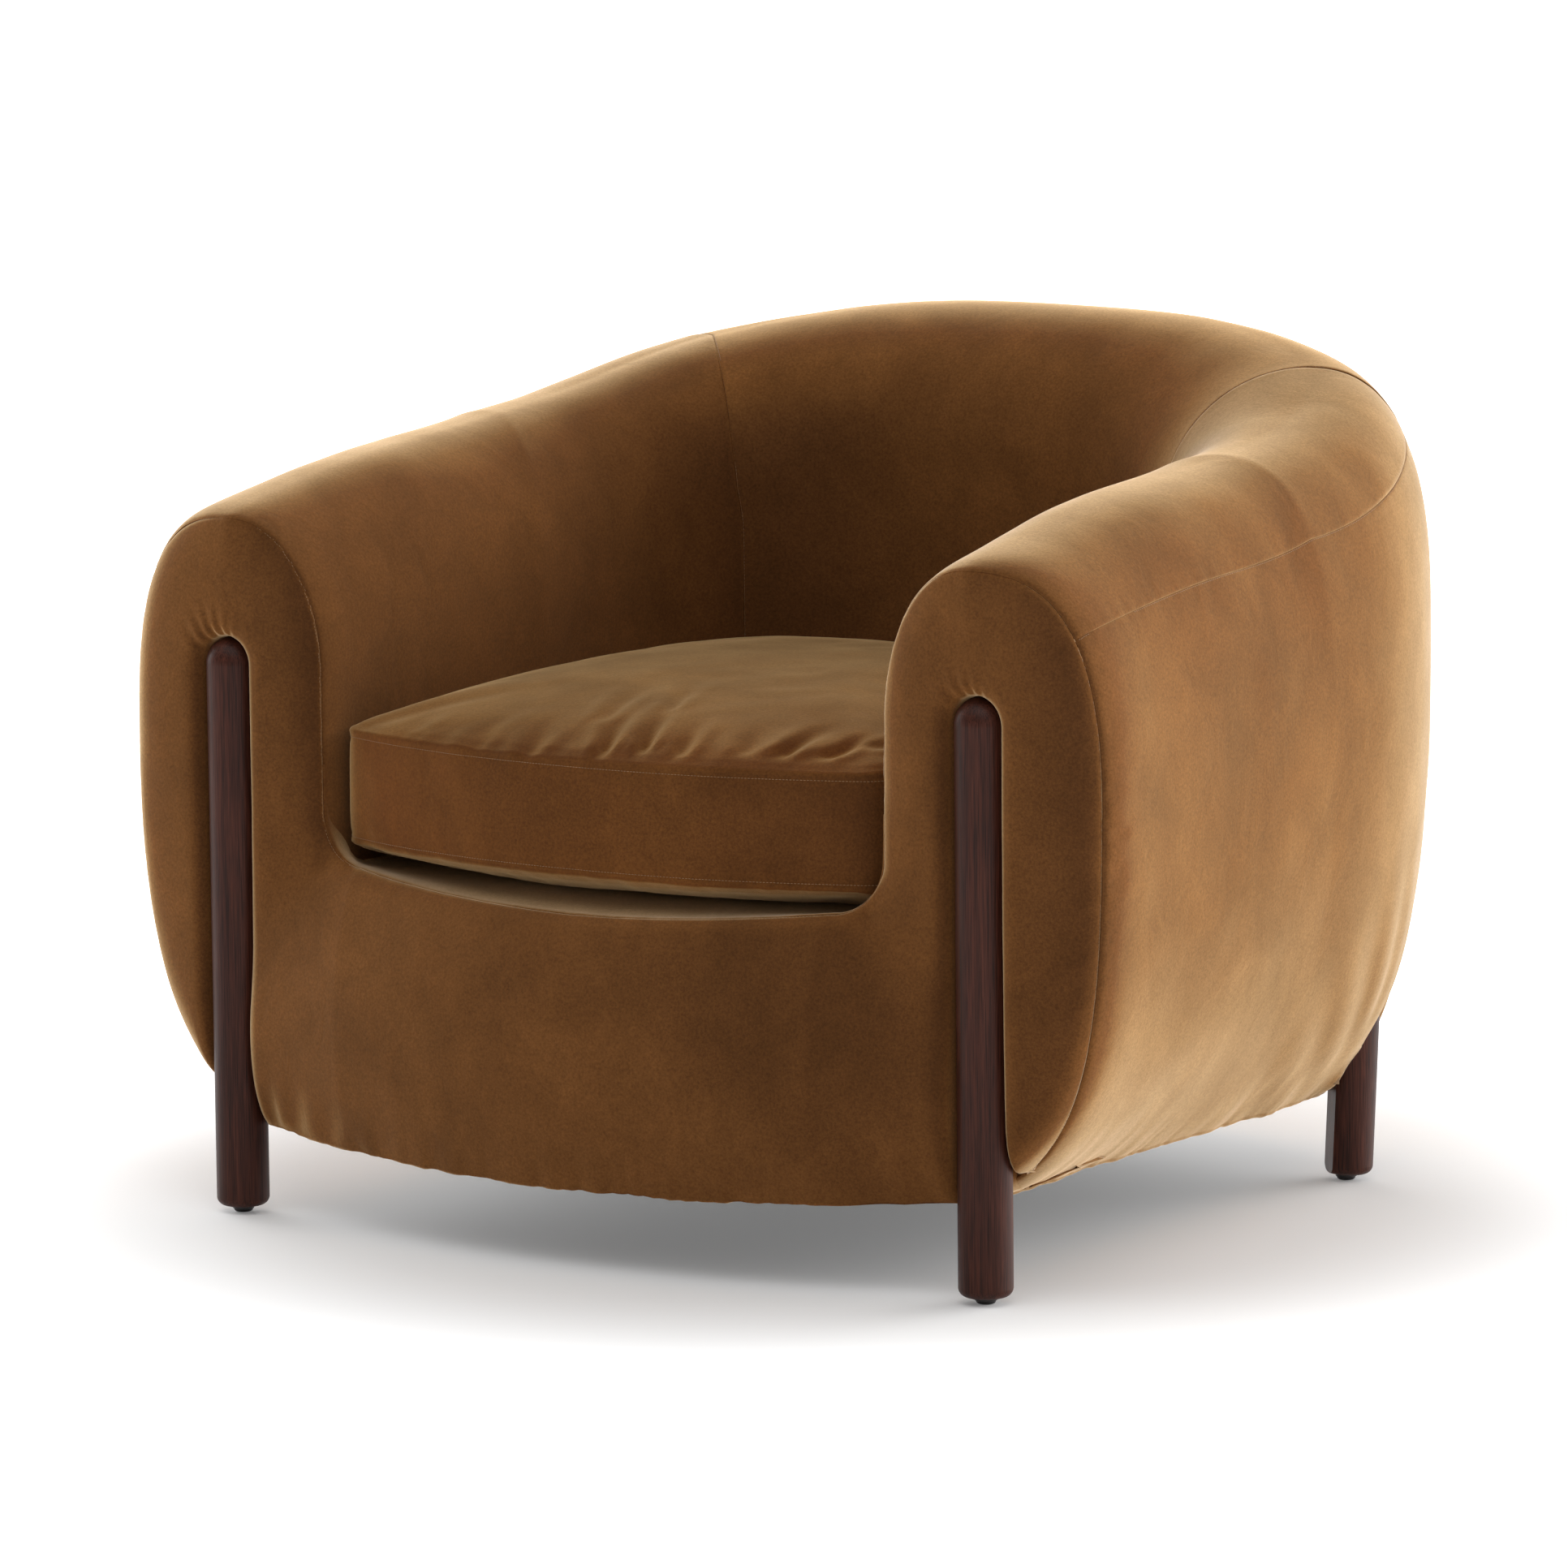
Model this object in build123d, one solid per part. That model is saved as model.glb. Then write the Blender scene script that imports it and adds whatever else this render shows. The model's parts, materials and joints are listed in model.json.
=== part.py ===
from build123d import *
import math
import os

import numpy as np

os.makedirs("parts", exist_ok=True)

# ---------------------------------------------------------------- driving dimensions (mm)
# Frame: -Y is the front, +X is to the right seen from the front, +Z up.
# The origin is on the floor under the middle of the whole chair.
Y_SHIFT = -356.0          # model coordinates are first built with y = 0 at the front post axes

POST_X = 382.0            # front post axis
POST_R = 23.0             # round bar the posts are cut from
POST_FLAT = 16.5          # distance of the flat from the bar's axis
POST_TOP = 505.0          # top of the domed end above the floor
POST_FOOT = 6.0           # wood starts this far above the floor
REAR_X, REAR_Y = 372.0, 612.0   # rear post axis at the floor
REAR_AZ = 42.5            # degrees from +X towards +Y: the way the rear post's round side faces
REAR_LEAN = 2.6           # degrees, rear posts lean outwards going up

GLIDE_R = 9.4
GLIDE_TRAVEL = 10.0
STEM_R = 3.9

COVER_T = 2.2             # upholstery cover
PAD_GAP = 4.4             # depth of the padding's surface under the cover's face
PAD_OUT, PAD_TOP, PAD_IN = 20.0, 58.0, 40.0

SEAM_Y = 9.0              # plane of the seam round the front panel
ARM_END = 430.0           # the arms are straight up to here, then the back turns
NOSE_Y = -18.5            # face of the front panel beside the posts
HEM_Z = 81.0
DECK_Z = 300.0            # seat deck
SEAM_DROP = 0.487         # place of the side seam on the section, 0 hem .. 1 inside wall

CUSH_HALF = 277.0
CUSH_BOT, CUSH_SEAM_LO, CUSH_SEAM_HI, CUSH_TOP = 311.0, 332.0, 430.0, 469.0

# horseshoe form: plan curves (front half width, widest half width, front y, y of widest, rear y, squareness)
CREST = (376.0, 374.0, -13.0, 384.0, 735.0, 2.90)
OUTER = (495.5, 493.0, 9.0, 387.0, 796.0, 2.76)
HEM = (364.0, 367.0, 46.0, 448.0, 752.0, 3.60)
INNER = (285.0, 280.0, -1.5, 325.0, 614.0, 2.81)
S_MID = 0.45
CREST_Z = ((0, 0.22, 0.45, 0.7, 1.0), (612.0, 647.0, 664.5, 714.5, 747.5))
OUTER_Z = ((0, 0.45, 0.72, 1.0), (413.0, 420.0, 540.0, 522.0))
BULGE_M = ((0, 0.45, 0.75, 1.0), (0.18, 0.33, 0.15, 0.30))
BULGE_W = ((0, 0.45, 0.75, 1.0), (1.38, 0.95, 1.45, 1.0))
ROLL_IN = 132.0
N_OUT, N_IN, N_NOSE = 2.63, 2.03, 2.45


# ---------------------------------------------------------------- the form
def smooth(s, xs, ys):
    """Cubic through the nodes, level at the last one."""
    xs, ys = np.array(xs, float), np.array(ys, float)
    d = np.diff(ys) / np.diff(xs)
    m = np.zeros(len(xs))
    m[0] = d[0]
    for k in range(1, len(xs) - 1):
        h0, h1 = xs[k] - xs[k - 1], xs[k + 1] - xs[k]
        m[k] = (d[k - 1] * h1 + d[k] * h0) / (h0 + h1)
    s = np.asarray(s, float)
    i = np.clip(np.searchsorted(xs, s, side="right") - 1, 0, len(xs) - 2)
    h = xs[i + 1] - xs[i]
    t = (s - xs[i]) / h
    return (
        (2 * t**3 - 3 * t**2 + 1) * ys[i]
        + (t**3 - 2 * t**2 + t) * h * m[i]
        + (-2 * t**3 + 3 * t**2) * ys[i + 1]
        + (t**3 - t**2) * h * m[i + 1]
    )


def plan(s, xf, xm, yf, yc, yb, n):
    """Half of a horseshoe plan curve: s 0 is the front of the arm, 1 the middle of the back."""
    s = np.asarray(s, float)
    t = np.clip(s / S_MID, 0, 1)
    ph = np.clip((s - S_MID) / (1 - S_MID), 0, 1) * math.pi / 2
    xa, ya = xm - (xm - xf) * (1 - t) ** 2, yf + (yc - yf) * t
    xb = xm * np.abs(np.cos(ph)) ** (2 / n)
    y_b = yc + (yb - yc) * np.sin(ph) ** (2 / n)
    first = s <= S_MID
    return np.where(first, xa, xb), np.where(first, ya, y_b)


def form(s, th):
    """Point on the upholstered face. th: 0 hem, 1/3 widest, 2/3 crest, 1 top of the inside wall."""
    s, th = np.broadcast_arrays(np.asarray(s, float), np.asarray(th, float))
    (ox, oy), (hx, hy), (cx, cy), (ix, iy) = (
        plan(s, *c) for c in (OUTER, HEM, CREST, INNER)
    )
    zt, zo = smooth(s, *CREST_Z), smooth(s, *OUTER_Z)
    zm = HEM_Z + (zo - HEM_Z) * smooth(s, *BULGE_M)
    w = smooth(s, *BULGE_W)
    zi = zt - ROLL_IN
    t = 1 - np.clip(th * 3, 0, 1)
    a, b, c = (1 - t) ** 2, 2 * t * (1 - t) * w, t * t
    d = a + b + c
    x1, y1 = ((a + b) * ox + c * hx) / d, ((a + b) * oy + c * hy) / d
    z1 = (a * zo + b * zm + c * HEM_Z) / d
    t2 = np.clip(th * 3 - 1, 0, 1) * math.pi / 2
    t3 = np.clip(th * 3 - 2, 0, 1) * math.pi / 2
    a2, b2 = np.abs(np.cos(t2)) ** (2 / N_OUT), np.sin(t2) ** (2 / N_OUT)
    a3, b3 = np.sin(t3) ** (2 / N_IN), np.abs(np.cos(t3)) ** (2 / N_IN)
    lo, mid = th <= 1 / 3, th <= 2 / 3
    x = np.where(lo, x1, np.where(mid, cx + (ox - cx) * a2, cx + (ix - cx) * a3))
    y = np.where(lo, y1, np.where(mid, cy + (oy - cy) * a2, cy + (iy - cy) * a3))
    z = np.where(lo, z1, np.where(mid, zo + (zt - zo) * b2, zi + (zt - zi) * b3))
    return x, y, z


_S = np.linspace(0, 1, 401)
_TH = np.linspace(0, 1, 121)
_X, _Y, _Z = form(_S[:, None], _TH[None, :])


def cut(kind, value):
    """The face's section in a plane: ('y', y) across an arm, or ('a', degrees) round the back.
    Returns points (r, z) from the hem over the top to the seat deck, r outwards from the middle."""
    pts = []
    for j in range(len(_TH)):
        if kind == "y":
            key = _Y[:, j]
            r = _X[:, j]
            v = value
        else:
            key = np.unwrap(np.arctan2(_Y[:, j] - ARM_END, _X[:, j]))
            r = np.hypot(_X[:, j], _Y[:, j] - ARM_END)
            v = math.radians(value)
        pts.append((float(np.interp(v, key, r)), float(np.interp(v, key, _Z[:, j]))))
    r_in = pts[-1][0]
    pts += [(r_in, z) for z in np.linspace(pts[-1][1], DECK_Z, 14)[1:]]
    return np.array(pts)


def resample(p, n):
    d = np.concatenate([[0], np.cumsum(np.hypot(*np.diff(p, axis=0).T))])
    t = np.linspace(0, d[-1], n)
    return np.stack([np.interp(t, d, p[:, 0]), np.interp(t, d, p[:, 1])], 1)


def inset(p, depth):
    """The curve moved inwards, towards the middle of the arm; depth is one number or one per point."""
    t = np.gradient(p, axis=0)
    t /= np.linalg.norm(t, axis=1)[:, None]
    n = np.stack([-t[:, 1], t[:, 0]], 1)      # the curve runs hem -> crest -> inside: inwards is left
    return p + n * np.reshape(depth, (-1, 1))


def placed(pts, kind, value, mirror=False):
    out = []
    for r, z in pts:
        if kind == "y":
            x, y = r, value
        else:
            a = math.radians(value)
            x, y = r * math.cos(a), ARM_END + r * math.sin(a)
        out.append(Vector(-x if mirror else x, y + Y_SHIFT, z))
    return out


def closed_wire(outer, inner, kind, value, mirror=False):
    """outer and inner are (r, z) curves that start and end together."""
    o, i = placed(outer, kind, value, mirror), placed(inner, kind, value, mirror)
    e = [
        Edge.make_spline(o),
        Edge.make_line(o[-1], i[-1]),
        Edge.make_spline(i[::-1]),
        Edge.make_line(i[0], o[0]),
    ]
    return Wire(e)


def skin(p, d_out, d_top, d_in):
    """The section moved inwards by d_out on the outside, d_top at the crest and d_in inside."""
    q = inset(p, d_out)
    (ro, zo), (rc, zt), (ri, zi) = p[40], p[80], p[120]
    q[40:81, 0] = rc + (p[40:81, 0] - rc) * (ro - d_out - rc) / (ro - rc)
    q[40:81, 1] = zo + (p[40:81, 1] - zo) * (zt - d_top - zo) / (zt - zo)
    q[80:121, 0] = rc + (p[80:121, 0] - rc) * (ri + d_in - rc) / (ri - rc)
    q[80:121, 1] = zi + (p[80:121, 1] - zi) * (zt - d_top - zi) / (zt - zi)
    q[121:, 0] = p[121:, 0] + d_in
    q[121:, 1] = p[121:, 1]
    return q


def layer(stations, lo, hi, d0, d1, n=25, flip=False):
    """A layer of the upholstery between two sets of depths (outside, crest, inside), from
    point lo to point hi of the section. A station is (kind, value, mirrored)."""
    wires = []
    for kind, value, m in stations:
        p = cut(kind, value)
        o, i = skin(p, *d0)[lo : hi + 1], skin(p, *d1)[lo : hi + 1]
        wires.append(closed_wire(resample(o, n), resample(i, n), kind, value, m != flip))
    return Solid.make_loft(wires, ruled=True)


def ribbon(outer, inner, z0, z1):
    """A curved board: plan points of its two faces, from z0 to z1."""
    o = [Vector(x, y + Y_SHIFT, z0) for x, y in outer]
    i = [Vector(x, y + Y_SHIFT, z0) for x, y in inner]
    w = Wire(
        [
            Edge.make_spline(o),
            Edge.make_line(o[-1], i[-1]),
            Edge.make_spline(i[::-1]),
            Edge.make_line(i[0], o[0]),
        ]
    )
    return extrude(Face(w), z1 - z0, dir=(0, 0, 1))


def box(x0, x1, y0, y1, z0, z1):
    return Pos((x0 + x1) / 2, (y0 + y1) / 2 + Y_SHIFT, (z0 + z1) / 2) * Box(
        x1 - x0, y1 - y0, z1 - z0
    )


def mirrored(shape):
    return mirror(shape, about=Plane.YZ)


def cyl(x, y, z0, z1, r):
    return Pos(x, y + Y_SHIFT, (z0 + z1) / 2) * Cylinder(r, z1 - z0)


parts = {}

# ---------------------------------------------------------------- posts
INSERT_R, INSERT_L = 5.2, 22.0
BOLT_Z = (150.0, 420.0)


def post_blank():
    """Post standing on its own axis, round side towards -Y, flat towards +Y, foot at POST_FOOT."""
    top, foot = POST_TOP, POST_FOOT
    w = Wire(
        [
            Edge.make_line((0, 0, foot), (POST_R - 8, 0, foot)),
            Edge.make_three_point_arc(
                (POST_R - 8, 0, foot),
                (POST_R - 8 + 8 * math.sin(math.radians(45)), 0, foot + 8 - 8 * math.cos(math.radians(45))),
                (POST_R, 0, foot + 8),
            ),
            Edge.make_line((POST_R, 0, foot + 8), (POST_R, 0, top - POST_R)),
            Edge.make_three_point_arc(
                (POST_R, 0, top - POST_R),
                (POST_R * math.cos(math.radians(45)), 0, top - POST_R + POST_R * math.sin(math.radians(45))),
                (0, 0, top),
            ),
            Edge.make_line((0, 0, top), (0, 0, foot)),
        ]
    )
    p = revolve(Face(w), Axis.Z, 360)
    p -= Pos(0, POST_FLAT + 25, 300) * Box(80, 50, 700)
    for z in BOLT_Z:
        p -= Pos(0, POST_FLAT - INSERT_L / 2, z) * (
            Rot(90, 0, 0) * Cylinder(INSERT_R, INSERT_L)
        )
    return p


def put_front(shape):
    return Pos(POST_X, Y_SHIFT, 0) * shape


def put_rear(shape):
    # round side (-Y of the blank) turns to REAR_AZ, then the post leans that way about its foot
    turned = Rot(0, 0, REAR_AZ + 90.0) * shape
    a = math.radians(REAR_AZ)
    axis = Axis((0, 0, 0), (-math.sin(a), math.cos(a), 0))
    leaned = turned.rotate(axis, REAR_LEAN)
    return Pos(REAR_X, REAR_Y + Y_SHIFT, 0) * leaned


blank = post_blank()
foot_bore = Pos(0, 0, 17.5) * Cylinder(INSERT_R, 35.0)      # upright also in the leaning posts
post_f = put_front(blank) - Pos(POST_X, Y_SHIFT, 0) * foot_bore
post_r = put_rear(blank) - Pos(REAR_X, REAR_Y + Y_SHIFT, 0) * foot_bore
parts["post_front_right"] = post_f
parts["post_front_left"] = mirrored(post_f)
parts["post_rear_right"] = post_r
parts["post_rear_left"] = mirrored(post_r)


def insert_set():
    """Threaded inserts for the two fixing bolts of one post."""
    out = []
    for z in BOLT_Z:
        b = Pos(0, POST_FLAT - 10.5, z) * (Rot(90, 0, 0) * Cylinder(INSERT_R - 0.05, 19))
        b -= Pos(0, POST_FLAT - 10.5, z) * (Rot(90, 0, 0) * Cylinder(4.05, 30))
        out.append(b)
    return out


ins = insert_set()
all_ins = []
for b in ins:
    all_ins += [put_front(b), mirrored(put_front(b)), put_rear(b), mirrored(put_rear(b))]
foot_ins = Pos(0, 0, 18.0) * Cylinder(INSERT_R - 0.05, 20) - Pos(0, 0, 18.0) * Cylinder(STEM_R + 0.15, 30)
for gx, gy in ((POST_X, 0.0), (REAR_X, REAR_Y)):
    b = Pos(gx, gy + Y_SHIFT, 0) * foot_ins
    all_ins += [b, mirrored(b)]
parts["threaded_inserts"] = Compound(children=all_ins)


# glides: a turned plastic foot moulded on a steel stem
def glide_foot():
    w = Wire(
        [
            Edge.make_line((0, 0, 0), (5.5, 0, 0)),
            Edge.make_three_point_arc((5.5, 0, 0), (7.6, 0, 0.9), (8.4, 0, 2.6)),
            Edge.make_line((8.4, 0, 2.6), (GLIDE_R, 0, 3.2)),
            Edge.make_line((GLIDE_R, 0, 3.2), (GLIDE_R, 0, 5.4)),
            Edge.make_line((GLIDE_R, 0, 5.4), (0, 0, 5.4)),
            Edge.make_line((0, 0, 5.4), (0, 0, 0)),
        ]
    )
    g = revolve(Face(w), Axis.Z, 360)
    return g - Pos(0, 0, 4.2) * Cylinder(STEM_R, 3.0)


def glide_stem():
    return Pos(0, 0, 2.7 + 10.0) * Cylinder(STEM_R, 20.0)


for side, flip in (("right", False), ("left", True)):
    for end, (gx, gy) in (("front", (POST_X, 0.0)), ("rear", (REAR_X, REAR_Y))):
        f = Pos(gx, gy + Y_SHIFT, 0) * glide_foot()
        st = Pos(gx, gy + Y_SHIFT, 0) * glide_stem()
        parts[f"glide_{end}_{side}"] = mirrored(f) if flip else f
        parts[f"glide_stem_{end}_{side}"] = mirrored(st) if flip else st

# ---------------------------------------------------------------- clearances for the rear posts
def rear_blank_void(grow, z0, z1):
    """Space of a post, its groove outwards and the board behind it, in the post's own frame."""
    r = POST_R + grow
    v = Pos(0, 0, (z0 + z1) / 2) * Cylinder(r, z1 - z0)
    v += Pos(0, -60, (z0 + z1) / 2) * Box(2 * r, 120, z1 - z0)
    v += Pos(0, (POST_FLAT + 19 + grow) / 2, (90 + 600) / 2) * Box(
        60 + 2 * grow, POST_FLAT + 19 + grow, 512
    )
    return v


groove_right = put_rear(rear_blank_void(1.2, -40.0, POST_TOP + 2.0))
groove_left = mirrored(groove_right)

ARM_Y = [17.4, 50, 90, 135, 180, 225, 270, 315, 355, 395, ARM_END]
BACK_A = [0, 7, 14, 21, 27, 34, 42, 50, 58, 66, 74, 82, 90]


def arm_stations(y_list):
    return [("y", y, False) for y in y_list]


def back_stations(a0, a1):
    """Round the back from a0 to a1 degrees; past 90 the sections are the mirrored ones."""
    out = []
    for a in BACK_A:
        if a0 <= a <= a1:
            out.append(("a", a, False))
    for a in BACK_A[::-1][1:]:
        if a0 <= 180 - a <= a1:
            out.append(("a", a, True))
    return out


SEAM_I = int(round(SEAM_DROP * 120))
END_I = 133

# ---------------------------------------------------------------- padding of the arms and back
D_COVER = (COVER_T, COVER_T, COVER_T)
D_PAD0 = (PAD_GAP, PAD_GAP, PAD_GAP)
D_PAD1 = (PAD_GAP + PAD_OUT, PAD_GAP + PAD_TOP, PAD_GAP + PAD_IN)

arm_pad = layer(arm_stations(ARM_Y[:-1] + [ARM_END - 0.4]), 0, END_I, D_PAD0, D_PAD1)
parts["arm_pad_right"] = arm_pad
parts["arm_pad_left"] = mirrored(arm_pad)

back_pad = layer(back_stations(0, 180), 0, END_I, D_PAD0, D_PAD1)
back_pad = back_pad - groove_right - groove_left


def biggest(shape):
    return max(shape.solids(), key=lambda s: s.volume)


parts["back_pad"] = biggest(back_pad)


# ---------------------------------------------------------------- front of the arms
POST_SLOT = 1.0
SLOT_TOP = POST_TOP + 2.5


def post_slot(grow=0.0):
    w = POST_R + POST_SLOT + grow
    s = box(POST_X - w, POST_X + w, -40, 30, -20, SLOT_TOP - w)
    s += Pos(POST_X, Y_SHIFT - 5, SLOT_TOP - w) * (Rot(90, 0, 0) * Cylinder(w, 70))
    return s


def nose(depth, y_back):
    """Full front of one arm: sections shrink towards the post as they come forward."""
    base = cut("y", SEAM_Y)
    wires = []
    for y in (y_back, 4.0, -3.0, -8.0, -12.0, -15.0, -17.0):
        if y + depth >= y_back and y != y_back:
            continue
        b = min(max((SEAM_Y - y) / (SEAM_Y - NOSE_Y), 0.0), 0.999)
        psi = math.acos(b ** (N_NOSE / 2))
        a = math.sin(psi) ** (2 / N_NOSE)
        p = skin(base, depth, depth, depth)
        q = resample(p, 41)
        zk = np.minimum(q[:, 1], POST_TOP - 30)
        x = POST_X + (q[:, 0] - POST_X) * a
        z = zk + (q[:, 1] - zk) * a
        yy = y if y == y_back else y + depth
        pts = [Vector(u, yy + Y_SHIFT, v) for u, v in zip(x, z)]
        wires.append(Wire([Edge.make_spline(pts), Edge.make_line(pts[-1], pts[0])]))
    return Solid.make_loft(wires, ruled=True)


below_seat = box(-100, POST_X - POST_R - POST_SLOT, -100, 60, 0, DECK_Z + 0.8)
nose_pad = nose(PAD_GAP, 16.6) - post_slot() - below_seat
parts["arm_front_pad_right"] = biggest(nose_pad)
parts["arm_front_pad_left"] = mirrored(parts["arm_front_pad_right"])

# ---------------------------------------------------------------- apron under the seat
APRON_X = POST_X - POST_R - POST_SLOT - 0.4
APRON_Z = (72.0, 120.0, 175.0, 235.0, 275.0, 299.6)
APRON_Y = (-76.5, -82.5, -84.0, -81.0, -70.0, -52.0)
APRON_EDGE = -9.0


def bow(x, yc, ye):
    return yc + (ye - yc) * (x / APRON_X) ** 2


def apron(d0, d1, z_from=72.0):
    xs = np.linspace(-APRON_X, APRON_X, 21)
    wires = []
    for z, yc in zip(APRON_Z, APRON_Y):
        z = max(z, z_from)
        o = [Vector(x, bow(x, yc, APRON_EDGE) + d0 + Y_SHIFT, z) for x in xs]
        i = [Vector(x, bow(x, yc, APRON_EDGE) + d1 + Y_SHIFT, z) for x in xs]
        wires.append(
            Wire(
                [
                    Edge.make_spline(o),
                    Edge.make_line(o[-1], i[-1]),
                    Edge.make_spline(i[::-1]),
                    Edge.make_line(i[0], o[0]),
                ]
            )
        )
    return Solid.make_loft(wires, ruled=True)


parts["apron_pad"] = apron(PAD_GAP, 20.0, 84.0)

# ---------------------------------------------------------------- covers
front_u = nose(0.0, SEAM_Y) - nose(COVER_T, SEAM_Y + 3.0) - post_slot(0.2) - below_seat
front_u = biggest(front_u)
parts["front_cover_right"] = front_u
parts["front_cover_left"] = mirrored(front_u)
parts["apron_cover"] = apron(0.0, COVER_T)

ARM_COVER_Y = [SEAM_Y + 0.3] + ARM_Y[1:]
arm_cover = layer(
    arm_stations(ARM_COVER_Y) + back_stations(1, 34), SEAM_I + 1, END_I, (0, 0, 0), D_COVER
)
parts["arm_cover_right"] = arm_cover
parts["arm_cover_left"] = mirrored(arm_cover)
inside_back = layer(back_stations(34, 146), SEAM_I + 1, END_I, (0, 0, 0), D_COVER)
gap_cut = Pos(0, ARM_END + Y_SHIFT, 400) * (Rot(0, 0, 34) * (Pos(300, 0, 0) * Box(600, 0.6, 900)))
inside_back = inside_back - gap_cut - mirrored(gap_cut)
parts["inside_back_cover"] = biggest(inside_back)
side_outer = layer(
    arm_stations(ARM_COVER_Y) + back_stations(1, 90), 0, SEAM_I, (0, 0, 0), D_COVER
)
side_outer = side_outer - groove_right - post_slot()
half = mirrored(side_outer)
parts["outside_cover"] = Compound(children=list(side_outer.solids()) + list(half.solids()))

# ---------------------------------------------------------------- frame boards
BOARD_T = 18.0
BOARD_Y0 = 17.0


def prism_y(points, y0, y1):
    """Plate from (x, z) points between y0 and y1."""
    w = Wire.make_polygon([Vector(x, y0 + Y_SHIFT, z) for x, z in points], close=True)
    return extrude(Face(w), y1 - y0, dir=(0, 1, 0))


def prism_x(points, x0, x1):
    """Plate from (y, z) points between x0 and x1."""
    w = Wire.make_polygon([Vector(x0, y + Y_SHIFT, z) for y, z in points], close=True)
    return extrude(Face(w), x1 - x0, dir=(1, 0, 0))


def prism_z(points, z0, z1):
    """Plate from (x, y) points between z0 and z1."""
    w = Wire.make_polygon([Vector(x, y + Y_SHIFT, z0) for x, y in points], close=True)
    return extrude(Face(w), z1 - z0, dir=(0, 0, 1))


def bolt_holes(shape, r):
    for z in BOLT_Z:
        shape -= Pos(0, BOARD_Y0 + BOARD_T / 2, z) * (Rot(90, 0, 0) * Cylinder(r, BOARD_T + 10))
    return shape


core = resample(
    skin(cut("y", BOARD_Y0 + BOARD_T / 2), PAD_GAP + PAD_OUT + 1.5, PAD_GAP + PAD_TOP + 1.5, PAD_GAP + PAD_IN + 1.5),
    45,
)
board_pts = [(float(x), float(z)) for x, z in core]
board_pts += [(314.0, DECK_Z - 1.0), (314.0, 90.0), (float(core[0, 0]), 90.0)]
board = prism_y(board_pts, BOARD_Y0, BOARD_Y0 + BOARD_T)
for z in BOLT_Z:
    board -= Pos(POST_X, BOARD_Y0 + BOARD_T / 2 + Y_SHIFT, z) * (
        Rot(90, 0, 0) * Cylinder(4.5, BOARD_T + 10)
    )
parts["arm_front_board_right"] = board
parts["arm_front_board_left"] = mirrored(board)

rear_board = Pos(0, BOARD_Y0 + BOARD_T / 2, 344.0) * Box(60, BOARD_T, 508)
rear_board = bolt_holes(rear_board, 4.5)
parts["rear_corner_board_right"] = put_rear(rear_board)
parts["rear_corner_board_left"] = mirrored(put_rear(rear_board))

RAIL_Z0, RAIL_Z1 = 88.0, 226.0
side_rail = box(326, 348, 35.6, 560, RAIL_Z0, 264.0)
parts["side_rail_right"] = side_rail
parts["side_rail_left"] = mirrored(side_rail)

xs = np.linspace(-313.5, 313.5, 25)
front_rail = ribbon(
    [(x, bow(x, -50.0, 13.0)) for x in xs], [(x, bow(x, -28.0, 35.0)) for x in xs], RAIL_Z0, 264.0
)
parts["front_rail"] = front_rail
parts["rear_seat_rail"] = box(-325.4, 325.4, 598, 620, RAIL_Z0, 264.0)

# curved back rails
_s = np.linspace(0, 1, 801)


def back_plan(curve, depth, y_from):
    """Plan points of a curve moved inwards, from the right side round the back to the left."""
    x, y = plan(_s, *curve)
    p = np.stack([x, y], 1)
    t = np.gradient(p, axis=0)
    t /= np.linalg.norm(t, axis=1)[:, None]
    q = p + depth * np.stack([-t[:, 1], t[:, 0]], 1)
    q = q[q[:, 1] >= y_from]
    q = q[q[:, 0] >= 0]
    q = resample(q, 19)
    q[-1, 0] = 0.0
    return [tuple(v) for v in q] + [(-x, y) for x, y in q[::-1][1:]]


def curved_rail(curve, d0, d1, y_from, z0, z1):
    return ribbon(back_plan(curve, d0, y_from), back_plan(curve, d1, y_from), z0, z1)


parts["back_bottom_rail"] = curved_rail(HEM, 32.0, 54.0, 630.0, RAIL_Z0 + 6, RAIL_Z1)
parts["back_top_rail"] = curved_rail(CREST, 4.0, 26.0, ARM_END + 1.0, 566.0, 596.0)
stiles = []
for sx in (-120.0, 0.0, 120.0):
    yc = 711.0 if sx == 0 else 700.0
    stiles.append(box(sx - 22, sx + 22, yc - 8, yc + 8, RAIL_Z1 + 0.4, 565.6))
parts["back_stiles"] = Compound(children=stiles)

arm_rail = prism_x([(35.6, 520), (429, 566), (429, 586), (35.6, 540)], 356, 412)
parts["arm_top_rail_right"] = arm_rail
parts["arm_top_rail_left"] = mirrored(arm_rail)
inner_board = prism_x([(35.6, 269), (395, 269), (395, 536), (35.6, 500)], 331, 336)
parts["inner_arm_board_right"] = inner_board
parts["inner_arm_board_left"] = mirrored(inner_board)

D_B0 = tuple(d + 1.2 for d in D_PAD1)
D_B1 = tuple(d + 4.2 for d in D_PAD1)
outer_panel = layer(arm_stations([36.5] + ARM_Y[1:-1] + [ARM_END - 0.4]), 22, 52, D_B0, D_B1)
parts["outer_panel_right"] = outer_panel
parts["outer_panel_left"] = mirrored(outer_panel)
parts["outer_panel_back"] = layer(back_stations(50, 130), 22, 52, D_B0, D_B1)

# corner blocks
fb = prism_z([(325.4, 112), (325.4, 35.6), (313.4, 35.6), (313.4, 24.0), (250, 5.4), (238, 13)], 100, 160)
rb = prism_z([(325.4, 500), (325.4, 597.4), (240, 597.4)], 100, 160)
parts["corner_blocks"] = Compound(children=[fb, mirrored(fb), rb, mirrored(rb)])

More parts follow.
